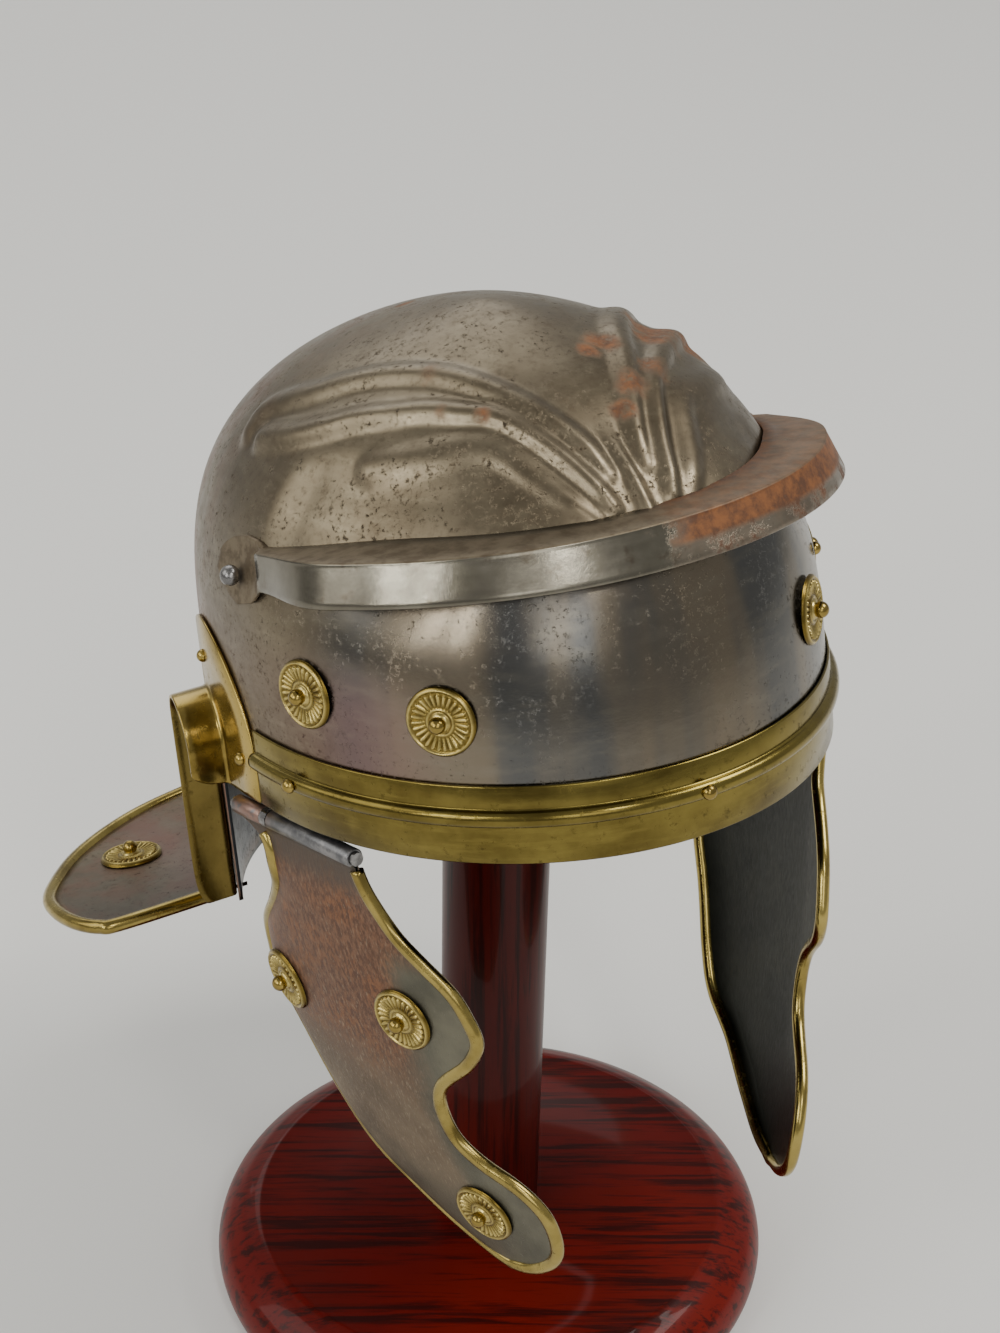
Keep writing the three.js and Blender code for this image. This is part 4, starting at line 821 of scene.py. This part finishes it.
def make_guard():
    stations = []
    for angle in np.radians(np.linspace(-GUARD_FOLD, GUARD_FOLD, 121)):
        share, side = math.cos(angle), math.sin(angle)
        tucked = float(smoothstep(abs(math.degrees(angle)), GUARD_FOLD - TUCK_DEGREES, GUARD_FOLD))
        stations.append((
            math.copysign(GUARD_HALF * abs(side) ** 0.95 - GUARD_TUCK * tucked, side),
            GUARD_MIDDLE - GUARD_REACH * share ** 0.95,
            1 + GUARD_FLARE * (1 - tucked) / GUARD_REACH,
            GUARD_END + 0.094 * HEIGHT * share * (1.6 - 0.6 * share),
            GUARD_FACE,
        ))
    table = np.array(GUARD_TAB)
    runs = np.linspace(0.08, 1, 26)
    for side in (-1, 1):
        tab = []
        for run in runs:
            proud, rise, height = (np.interp(run, table[:, 0], table[:, k]) for k in (1, 2, 3))
            top, drop = GUARD_END + rise * TAB_HEIGHT, height * TAB_HEIGHT
            upper = on_tab(run, top, proud)
            lower = on_tab(run, top - drop, proud)
            tab.append((side * upper[0], float(upper[1]), lower[0] / upper[0], top, drop))
        stations = tab[::-1] + stations if side < 0 else stations + tab
    loops = []
    for x, y, flare, top, drop in stations:
        def at(share, z):
            return np.array([x * share, GUARD_MIDDLE + (y - GUARD_MIDDLE) * share, z])
        radius = math.hypot(x, y - GUARD_MIDDLE)
        thin = 1 - GUARD_SHEET / radius
        seat = bowl_point(math.atan2(x, -y), top, 0.25)
        seat = seat + bowl_out(seat) * brow_relief(seat[None])[0]
        deep = min(0.985, math.hypot(seat[0], seat[1] - GUARD_MIDDLE) / radius)
        corner = []
        for i in range(7):
            a = math.pi / 2 * i / 6
            turn_in, turn_down = GUARD_CORNER * (1 - math.sin(a)), GUARD_CORNER * (1 - math.cos(a))
            corner.append((1 - turn_in / radius, top - turn_down))
        face = [(1 + (flare - 1) * s, top - GUARD_CORNER - (drop - 1.5) * s) for s in np.linspace(0.05, 1, 8)]
        face[-1] = (flare, top - drop + 0.5)
        low, back = top - drop, flare * thin
        foot = [(flare - 0.3 / radius, low), (back + 0.3 / radius, low), (back, low + 0.5)]
        under = [(thin, top - 1.9), (thin - 0.5 / radius, top - 1.4)]
        loop = [(deep, top), *corner, *face, *foot, *under, (deep, top - GUARD_SHEET)]
        loops.append([at(s, z) for s, z in loop])
    return loft(loops)


add_piece("brow_guard_strip", *make_guard(), GUARD_STEEL, slot="guard_steel", stands_for=("brow_guard",))

# Ear guards


# How far the flange stands from the bowl, at its front and at its rear foot, and the rise of its toe
FLANGE_REACH, HEEL_REACH, TOE_LENGTH = 16.7, 15.0, 16.0


def make_ear(side):
    """Plate on the bowl round the ear opening, turning out into a flange along the opening's edge."""
    floor_slope = math.tan(NECK_SLOPE)
    steps = 150
    inner = resample(arch_line(EAR_CENTRE, EAR_HALF, EAR_SPRING, EAR_FOOT, 64), steps)
    outer = resample(arch_line(PLATE_CENTRE, PLATE_HALF, PLATE_SPRING, 0.0, 64), steps)
    # Sections leave the opening squarely and reach the plate's edge in step with it
    pairs = np.concatenate([[0], np.cumsum(np.linalg.norm(np.diff(inner, axis=0), axis=1))])
    total = pairs[-1]
    tangent = np.gradient(inner, axis=0)
    tangent /= np.linalg.norm(tangent, axis=1)[:, None]
    away = np.column_stack([-tangent[:, 1], tangent[:, 0]])
    if (inner[steps // 4] - [EAR_CENTRE, EAR_SPRING]) @ away[steps // 4] < 0:
        away = -away
    rows = []
    for i in range(steps):
        (y, z), (far_y, far_z) = inner[i], outer[i]
        leg = max(0.0, total - pairs[i])
        reach_front = FLANGE_REACH * min(1.0, 0.86 + pairs[i] / 30.0)
        reach_rear = HEEL_REACH - 11.0 * math.exp(-leg / 4.2)
        reach = min(reach_front, reach_rear)
        section = []

        def plate(share, grow):
            py, pz = y + (far_y - y) * share, z + (far_z - z) * share
            section.append((py, pz, grow))

        def lip(off, grow):
            section.append((y + away[i][0] * off, z + away[i][1] * off, grow))

        plate(1.0, 0.4)
        plate(1.0, 1.2)
        plate(0.99, 1.5)
        plate(0.6, 1.5)
        plate(0.3, 1.5)
        for k in range(6):
            a = math.pi / 2 * k / 5
            lip(2.9 - 1.7 * math.sin(a), 3.2 - 1.7 * math.cos(a))
        for share in (0.4, 0.6, 0.8, 0.96):
            lip(1.2, share * reach)
        lip(1.0, reach)
        lip(0.2, reach)
        for share in (0.96, 0.8, 0.6, 0.4, 0.2):
            lip(0.0, share * reach)
        lip(0.5, 0.9)
        lip(1.4, 0.35)
        plate(0.3, 0.35)
        plate(0.6, 0.35)
        # The front toe rises as it stands out, the plate keeps to its own foot
        row = []
        for py, pz, grow in section:
            if pairs[i] < TOE_LENGTH and grow > 2.0:
                pz += (1 - pairs[i] / TOE_LENGTH) * (0.2 * min(grow, 10.0) + 0.72 * max(grow - 10.0, 0.0))
            pz = max(pz, -66.9 - (py - NECK_START) * floor_slope + 2.4)
            angle = angle_at(py, pz, grow)
            p = bowl_point(angle, pz, grow)
            row.append((side * p[0], p[1], p[2]))
        rows.append(row)
    return loft(rows)


# Cheek guards

DROP, BREADTH, SHEET, HINGE_Z = 169.0, 120.0, 1.4, -6.0
HINGE_FRONT, HINGE_REAR = np.array([91.6, -49.2, HINGE_Z]), np.array([103.8, 15.0, HINGE_Z])
HINGE_LENGTH = float(np.linalg.norm(HINGE_REAR - HINGE_FRONT))
CHEEK_SPREAD, CHEEK_REACH, CHEEK_WIDEST = 103.3, 147.0, 19.8
FRONT_EDGE = [
    (-0.425, 0.009), (-0.452, 0.09), (-0.483, 0.152), (-0.557, 0.211), (-0.623, 0.266), (-0.655, 0.33),
    (-0.663, 0.389), (-0.614, 0.451), (-0.538, 0.5), (-0.496, 0.534), (-0.477, 0.582), (-0.488, 0.645),
    (-0.543, 0.688), (-0.627, 0.726), (-0.682, 0.773), (-0.703, 0.829), (-0.691, 0.901), (-0.647, 0.951),
    (-0.566, 0.988), (-0.478, 1),
]
REAR_EDGE = [
    (0.125, 0.0), (0.12, 0.018), (0.041, 0.04), (0.008, 0.069), (0.03, 0.141), (0.15, 0.236), (0.238, 0.302),
    (0.277, 0.376), (0.297, 0.464), (0.229, 0.585), (0.155, 0.72), (0.073, 0.805), (-0.083, 0.873),
    (-0.23, 0.937), (-0.363, 0.981), (-0.478, 1),
]


def outline(shares):
    p = np.array(shares) * [BREADTH, DROP]
    fine = smooth_profile(p, 240)
    fine[:, 1] = np.maximum.accumulate(fine[:, 1])
    return fine


FRONT_LINE, REAR_LINE = outline(FRONT_EDGE), outline(REAR_EDGE)


def edge_at(line, drop):
    return np.interp(drop, line[:, 1], line[:, 0])


def cheek_x(y, drop):
    """How far the cheek guard stands from the middle plane, a distance under its hinge."""
    depth = drop / DROP
    spread = CHEEK_SPREAD * (1 - 0.12 * depth - 0.235 * depth ** 2)
    reach = CHEEK_REACH * (1 + 0.025 * depth - 0.09 * depth ** 2)
    ahead = np.clip(CHEEK_WIDEST - y, 0, None) / reach
    round_x = spread * (1 - np.minimum(ahead, 0.999) ** 1.9) ** (1 / 1.9)
    turned = 0.018 * np.clip(y - edge_at(REAR_LINE, drop) + 0.14 * BREADTH, 0, None) ** 2
    turned = turned * smoothstep(depth, 0.08, 0.24)
    along = (y - HINGE_FRONT[1]) / (HINGE_REAR[1] - HINGE_FRONT[1])
    hinge = HINGE_FRONT[0] + along * (HINGE_REAR[0] - HINGE_FRONT[0])
    blend = smoothstep(drop, 0, 0.16 * DROP)
    return hinge + (round_x - turned - hinge) * blend


def cheek_point(y, drop):
    y, drop = np.broadcast_arrays(np.asarray(y, float), np.asarray(drop, float))
    return np.stack([cheek_x(y, drop), y, HINGE_Z - drop], -1)


def cheek_normal(y, drop):
    along = cheek_point(y + 0.5, drop) - cheek_point(y - 0.5, drop)
    down = cheek_point(y, drop + 0.5) - cheek_point(y, np.maximum(drop - 0.5, 0))
    n = np.cross(down, along)
    return n / np.linalg.norm(n, axis=-1, keepdims=True)


def inset(line, start, inward, amount, steps=90):
    """An edge of the cheek guard moved inward along its sheet, from start downward."""
    share = np.sin(np.linspace(0, 1, steps + 1) * math.pi / 2)
    drop = start + (DROP - start) * share
    around = np.column_stack([edge_at(line, drop), drop])
    run = np.gradient(around, axis=0)
    run[-1] = (inward, 0)
    run /= np.linalg.norm(run, axis=1)[:, None]
    y, shift = around[:, 0], inward * amount
    stretch = np.linalg.norm(cheek_point(y + 0.5, drop) - cheek_point(y - 0.5, drop), axis=1)
    return np.column_stack([y + shift * run[:, 1] / stretch, drop - shift * run[:, 0]])


def mirror_faces(faces, side):
    return [tuple(reversed(f)) for f in faces] if side < 0 else faces


def flip(verts, side):
    return [(side * v[0], v[1], v[2]) for v in verts]


def make_cheek(side):
    rows, columns = 110, 44
    front = inset(FRONT_LINE, 5.8, 1, 2.4)
    rear = inset(REAR_LINE, 15.0, -1, 2.4)
    outer, inner = [], []
    for i in range(rows):
        drop = 3.2 + (DROP - 2.6 - 3.2) * math.sin(i / (rows - 1) * math.pi / 2 * 0.985)
        a = np.interp(max(drop, front[0][1]), front[:, 1], front[:, 0])
        b = edge_at(REAR_LINE, drop) if drop < rear[0][1] else np.interp(drop, rear[:, 1], rear[:, 0])
        y = np.linspace(a, max(b, a + 0.2), columns)
        p = cheek_point(y, drop)
        m = cheek_normal(y, drop)
        outer.append(p + m * SHEET / 2)
        inner.append(p - m * SHEET / 2)
    outer, inner = np.array(outer), np.array(inner)
    verts = list(outer.reshape(-1, 3)) + list(inner.reshape(-1, 3))
    offset = rows * columns
    faces = [tuple(reversed(f)) for f in grid_faces(rows, columns)]
    faces += [tuple(i + offset for i in f) for f in grid_faces(rows, columns)]
    for i in range(rows - 1):
        a, b = i * columns, (i + 1) * columns
        faces.append((a, b, offset + b, offset + a))
        faces.append((b + columns - 1, a + columns - 1, offset + a + columns - 1, offset + b + columns - 1))
    for k in range(columns - 1):
        faces.append((k + 1, k, offset + k, offset + k + 1))
        last = (rows - 1) * columns
        faces.append((last + k, last + k + 1, offset + last + k + 1, offset + last + k))
    return flip(verts, side), mirror_faces(faces, side)


def along_hinge(distance):
    return HINGE_FRONT + (HINGE_REAR - HINGE_FRONT) * distance / HINGE_LENGTH


def tube(start, end, outer, inner, side, sides=40):
    """Knuckle: a tube along the hinge with rounded lips."""
    axis = (HINGE_REAR - HINGE_FRONT) / HINGE_LENGTH
    u = np.cross(axis, [0, 0, 1])
    u /= np.linalg.norm(u)
    w = np.cross(u, axis)
    profile = [(inner, 0), (outer - 0.3, 0), (outer, 0.3)]
    length = end - start
    profile += [(outer, length - 0.3), (outer - 0.3, length), (inner, length)]
    verts = []
    for r, d in profile:
        for k in range(sides):
            a = 2 * math.pi * k / sides
            verts.append(along_hinge(start + d) + r * (math.cos(a) * u + math.sin(a) * w))
    faces = grid_faces(len(profile), sides, close_rows=True, close_columns=True)
    return flip(verts, side), mirror_faces(faces, side)


def make_edging(side):
    front = inset(FRONT_LINE, 3.9, 1, 2.5, 120)
    rear = inset(REAR_LINE, 8.0, -1, 2.5, 120)
    around = np.vstack([front, rear[:-1][::-1]])
    around = resample(around, 330)
    for _ in range(3):
        around[1:-1] = 0.25 * around[:-2] + 0.5 * around[1:-1] + 0.25 * around[2:]
    path = cheek_point(around[:, 0], around[:, 1])
    normals = cheek_normal(around[:, 0], around[:, 1])
    verts, faces = sweep(path, 2.5, 20, up=normals, flat=0.92)
    return flip(verts, side), mirror_faces(faces, side)


# Rosettes and rivets


def rosette_mesh():
    """Stamped rosette: raised rim, a ring of petals with rounded ends, an inner ring and a cone."""
    radius, petals = 11.75, 27
    around = petals * 10
    rings = [
        0.0, 0.8, 1.5, 2.1, 2.6, 3.0, 3.3, 3.6, 3.9, 4.2, 4.5, 4.9, 5.4, 6.0, 6.6, 7.2, 7.8, 8.3, 8.7,
        *np.arange(9.0, 11.6, 0.25), 11.68, radius,
    ]
    verts, faces = [], []
    for r in rings:
        for k in range(around):
            a = 2 * math.pi * k / around
            wave = 0.5 + 0.5 * math.cos(a * petals)
            if r < 3.6:
                h = 1.35 + 0.9 * (1 - smoothstep(r, 2.5, 3.6))
            elif r < 4.9:
                h = 1.0 + 0.45 * math.sin((r - 3.6) / 1.3 * math.pi)
            else:
                end = 8.9 + 0.75 * wave
                body = float(smoothstep(r, 4.9, 5.6) * (1 - smoothstep(r, end - 0.25, end + 0.25)))
                lift = 0.25 + 0.80 * (r - 4.9) / 4.7
                h = 0.95 + body * (lift * wave ** 0.6 - 0.10)
                rim = math.exp(-((r - 10.75) / 0.42) ** 2)
                h += 0.65 * rim
                if r > 11.3:
                    h = 1.05 - 0.5 * float(smoothstep(r, 11.45, 11.75))
            verts.append((r * math.cos(a), r * math.sin(a), h))
    faces += grid_faces(len(rings), around, close_columns=True)
    start = len(verts)
    for k in range(around):
        a = 2 * math.pi * k / around
        verts.append((radius * math.cos(a), radius * math.sin(a), 0.0))
    last = (len(rings) - 1) * around
    faces += [(last + k, last + (k + 1) % around, start + (k + 1) % around, start + k) for k in range(around)]
    cap(faces, start, around, True)
    return smooth_mesh("rosette", verts, faces, ROSETTE_BRASS)


def rivet_mesh(name, diameter, ball, material, height=None):
    r = diameter / 2
    if ball:
        profile = [(0, 0), (r * 0.72, 0), (r * 0.80, 0.2)]
        profile += [(r * math.cos(a), r * 0.62 + r * math.sin(a) * 0.95) for a in np.linspace(-0.6, 1.45, 18)]
        profile.append((0, r * 1.57))
    else:
        top = height or 0.9 * r
        profile = [(0, 0), (r, 0), (r, 0.15)]
        profile += [(r * math.cos(a), 0.15 + top * math.sin(a)) for a in np.linspace(0.1, 1.5, 14)]
        profile.append((0, top + 0.15))
    return smooth_mesh(name, *lathe(profile, 36), material)


def standing(point, normal, lift, side=1, spin=0.0):
    """Frame of a turned piece: foot at the point, local Z along the normal, in the world."""
    point = Vector((side * point[0], point[1], point[2]))
    normal = Vector((side * normal[0], normal[1], normal[2])).normalized()
    turn = Vector((0, 0, 1)).rotation_difference(normal).to_matrix().to_4x4()
    at = (point + normal * lift) * MM
    return HELMET @ Matrix.Translation(at) @ turn @ Matrix.Rotation(spin, 4, "Z")


def bowl_normal(angle, z):
    around = bowl_point(angle + 0.01, z) - bowl_point(angle - 0.01, z)
    up = bowl_point(angle, z + 1) - bowl_point(angle, z - 1)
    n = np.cross(around, up)
    return n / np.linalg.norm(n)


ROSETTE = rosette_mesh()
BOSS_RIVET = rivet_mesh("rosette_rivet", 5.6, True, BRASS)
BAND_RIVET = rivet_mesh("band_rivet", 5.2, False, BRASS, 2.3)
EAR_RIVET = rivet_mesh("ear_rivet", 4.6, False, BRASS, 2.2)
GUARD_RIVET = rivet_mesh("guard_rivet", 7.0, True, DARK_STEEL)


def skin_point(angle, z):
    """Point of the bowl's outside with its sunk brow, where a rosette or rivet sits."""
    p = bowl_point(angle, z)
    return p + bowl_normal(angle, z) * brow_relief(p[None])[0]


BOWL_ROSETTES = {
    "right": (("bowl_front_rosette", 45.2, 0.317), ("bowl_side_rosette", 72.0, 0.325)),
    "left": (("bowl_front_rosette", 37.5, 0.345), ("bowl_side_rosette", 72.0, 0.325)),
}


CHEEK_ROSETTES = (
    ("cheek_front_rosette", -0.43, 0.365), ("cheek_rear_rosette", 0.115, 0.415),
    ("cheek_lower_rosette", -0.47, 0.845),
)
# Places of an ear plate's rivets along the helmet and up
EAR_RIVETS = ((10.4, 12.0), (46.75, 36.55), (71.8, 12.0))


def add_rosette(node, point, normal, lift, side, body, spin):
    place(f"{node}_stamped", ROSETTE, body, standing(point, normal, lift, side, spin), (node,))
    matrix = standing(point, normal, lift + 1.9, side)
    place(f"{node}_rivet_head", BOSS_RIVET, body, matrix, (f"{node}_rivet",))


for side, hand in ((-1, "right"), (1, "left")):
    cheek = f"cheek_guard_{hand}"
    for k, (name, degrees, share) in enumerate(BOWL_ROSETTES[hand]):
        angle, z = math.radians(degrees), share * HEIGHT
        add_rosette(f"{name}_{hand}", skin_point(angle, z), bowl_normal(angle, z), 0.3, side, ROOT, 0.1 * k)
    for k, (name, y, drop) in enumerate(CHEEK_ROSETTES):
        at = (y * BREADTH, drop * DROP)
        add_rosette(f"{name}_{hand}", cheek_point(*at), cheek_normal(*at), 1.0, side, cheek, 0.07 * k)
    up = on_neck(0, 0, 1) - on_neck(0, 0, 0)
    at = on_neck(0.7 * NECK_HALF, 0.49 * NECK_REACH, WALL)
    add_rosette(f"neck_rosette_{hand}", at, up, 0.3, side, ROOT, 0.05)

    verts, faces = make_ear(side)
    add_piece(f"ear_guard_sheet_{hand}", verts, mirror_faces(faces, side), BRASS, slot="brass",
              stands_for=(f"ear_guard_{hand}",))
    for i, (y, z) in enumerate(EAR_RIVETS):
        angle = angle_at(y, z)
        matrix = standing(bowl_point(angle, z), bowl_normal(angle, z), 1.5, side)
        place(f"ear_rivet_head_{hand}_{i + 1}", EAR_RIVET, ROOT, matrix,
              (f"ear_guard_rivet_{hand}_{i + 1}",))
    rivet_z = GUARD_END - 0.47 * TAB_HEIGHT
    angle = angle_at(float(on_tab(0.487, rivet_z, 0)[1]), rivet_z)
    matrix = standing(bowl_point(angle, rivet_z), bowl_normal(angle, rivet_z), 2.0, side)
    place(f"brow_guard_rivet_head_{hand}", GUARD_RIVET, ROOT, matrix,
          (f"brow_guard_rivet_{hand}",))

    add_piece(f"cheek_sheet_{hand}", *make_cheek(side), CHEEK_STEEL, body=cheek, slot="cheek_steel",
              stands_for=(f"cheek_plate_{hand}",))
    gap = 0.73 * HINGE_LENGTH
    for part, start, end in (("front", 0.0, gap - 2.0), ("rear", gap + 2.0, HINGE_LENGTH)):
        knuckle = tube(start, end, 3.3, 1.95, side)
        add_piece(f"cheek_knuckle_{part}_{hand}", *knuckle, KNUCKLE_STEEL, body=cheek, slot="cheek_steel")
    add_piece(f"cheek_rim_{hand}", *make_edging(side), EDGE_BRASS, body=cheek, slot="brass",
              stands_for=(f"cheek_edging_{hand}",))

for place_index, name in ((-1, "right"), (0, "front"), (1, "left")):
    angle = math.radians(76.5 * place_index)
    matrix = standing(bowl_point(angle, BEAD_Z, 4.1), bowl_normal(angle, BEAD_Z), 0.1)
    place(f"band_rivet_head_{name}", BAND_RIVET, ROOT, matrix, (f"band_rivet_{name}",))

side_at = (math.radians(54), 0.408 * HEIGHT)
matrix = standing(skin_point(*side_at), bowl_normal(*side_at), 0.3)
place("bowl_side_rivet_head_left", EAR_RIVET, ROOT, matrix, ("bowl_side_rivet_left",))

# Hinge pins and leaves keep the CAD's own shape
for node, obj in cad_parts.items():
    if node.startswith(("hinge_pin", "hinge_leaf")):
        obj.data.materials.clear()
        obj.data.materials.append(DARK_STEEL)

# Stand

round_side = smooth_profile([
    (98, 0.6), (101.5, 0.9), (104.8, 3.85), (106, 11), (103.5, 18.7), (97.2, 24.4), (92, 27.0), (89.6, 27.9),
], 40)
flat_top = [(88.9, 28.0), (88.3, 27.85), (60, 27.95), (20, 28.0), (0, 28.0)]
base_profile = [(0, 0), (90, 0), (97, 0.1), *[tuple(p) for p in round_side], *flat_top]
add_piece("stand_base_turned", *lathe(base_profile, 220), BASE_WOOD, slot="stand_wood", matrix=PLAIN,
          stands_for=("stand_base",))

POST_FOOT, POST_TOP, POST_HEIGHT, POST_Z, POST_LEAN, POST_SIDES = 18.8, 20.5, 375.7, 28.3, (6.1, -3.5), 160
TO_HELMET = HELMET.inverted()


def roof(x, y):
    """World height where an upright line meets the inside of the bowl, less a little room."""
    low, high = 350.0, 404.0
    for _ in range(24):
        middle = (low + high) / 2
        p = TO_HELMET @ Vector((x * MM, y * MM, middle * MM)) / MM
        g = float(draw_in(p[2], -2.6)) if p[2] < HEIGHT - 2.7 else 1e-6
        reach = FRONT if p[1] < 0 else REAR
        inside = (p[0] / ((HALF_WIDTH - 2.6) * g)) ** 2 + (p[1] / ((reach - 2.6) * g)) ** 2 < 1
        low, high = (middle, high) if inside else (low, middle)
    return low


# Share of the height, share of the radius, and whether the row lies on the trimmed top
rows = [(0.0, 0.0, 0), (0.0, 1.0, 0), *[(h, 1.0, 0) for h in np.linspace(0.004, 0.84, 36)]]
rows += [(0.9, 1.0, 1), *[(0.9, fill, 1) for fill in (0.97, 0.8, 0.6, 0.4, 0.2, 0.0)]]
verts = []
for share, fill, topped in rows:
    lean = 1.0 if topped else share
    radius = (POST_FOOT + (POST_TOP - POST_FOOT) * lean) * fill
    for k in range(POST_SIDES):
        a = 2 * math.pi * k / POST_SIDES
        x, y = POST_LEAN[0] * lean + radius * math.cos(a), POST_LEAN[1] * lean + radius * math.sin(a)
        verts.append((x, y, roof(x, y) if topped else POST_Z + POST_HEIGHT * share))
faces = grid_faces(len(rows), POST_SIDES, close_columns=True)
add_piece("stand_post_turned", verts, faces, POST_WOOD, slot="stand_wood", matrix=PLAIN,
          stands_for=("stand_post",))

# Stage, lights and camera


def area(name, location, target, size, power, colour=(1, 1, 1), size_y=None):
    light = bpy.data.lights.new(name, "AREA")
    light.energy = power
    light.color = colour
    light.size = size
    if size_y:
        light.shape = "RECTANGLE"
        light.size_y = size_y
    lamp = bpy.data.objects.new(name, light)
    lamp.location = location
    away = Vector(location) - Vector(target)
    lamp.rotation_euler = away.to_track_quat("Z", "Y").to_euler()
    bpy.context.scene.collection.objects.link(lamp)


floor_mesh = bpy.data.meshes.new("floor")
floor_mesh.from_pydata([(-4, -4, 0), (4, -4, 0), (4, 4, 0), (-4, 4, 0)], [], [(0, 1, 2, 3)])
floor = bpy.data.objects.new("floor", floor_mesh)
bpy.context.scene.collection.objects.link(floor)
f = Nodes("pale_floor")
f.set(Base_Color=(0.78, 0.775, 0.76), Roughness=0.85)
floor_mesh.materials.append(f.material)

world = bpy.data.worlds.new("room")
world.use_nodes = True
bpy.context.scene.world = world
world.node_tree.nodes["Background"].inputs["Color"].default_value = (0.85, 0.845, 0.81, 1)
world.node_tree.nodes["Background"].inputs["Strength"].default_value = 0.5

area("key", (1.1, -0.5, 1.9), (0, 0, 0.25), 0.9, 24, (1.0, 0.98, 0.93))
area("window", (-1.93, -0.34, 1.2), (0, 0, 0.28), 0.24, 7, (1.0, 1.0, 0.96), 1.0)
area("casement", (-1.82, -0.78, 1.2), (0, 0, 0.28), 0.24, 7, (1.0, 1.0, 0.96), 1.0)
area("lamp", (-0.25, -1.6, 1.9), (0, 0, 0.3), 0.25, 8, (1.0, 0.98, 0.93), 0.6)
area("back", (0.4, 1.8, 1.6), (0, 0, 0.3), 1.6, 12, (1.0, 0.99, 0.96))
area("wall", (-1.7, 0.7, 1.3), (0, 0, 0.3), 1.3, 13, (1.0, 0.99, 0.94))
area("front", (-0.7, -1.7, 1.0), (-0.1, -0.6, 0.0), 0.8, 5, (1.0, 0.99, 0.95))

camera_data = bpy.data.cameras.new("camera")
camera_data.sensor_width = 36
camera_data.lens = 81.02
camera = bpy.data.objects.new("camera", camera_data)
right = Vector((0.8685, -0.4958, 0)).normalized()
back = Vector((-0.4208, -0.7370, 0.5295)).normalized()
upward = back.cross(right)
camera.matrix_world = Matrix((
    (right.x, upward.x, back.x, -0.4351),
    (right.y, upward.y, back.y, -0.7710),
    (right.z, upward.z, back.z, 0.8238),
    (0, 0, 0, 1),
))
bpy.context.scene.collection.objects.link(camera)
bpy.context.scene.camera = camera
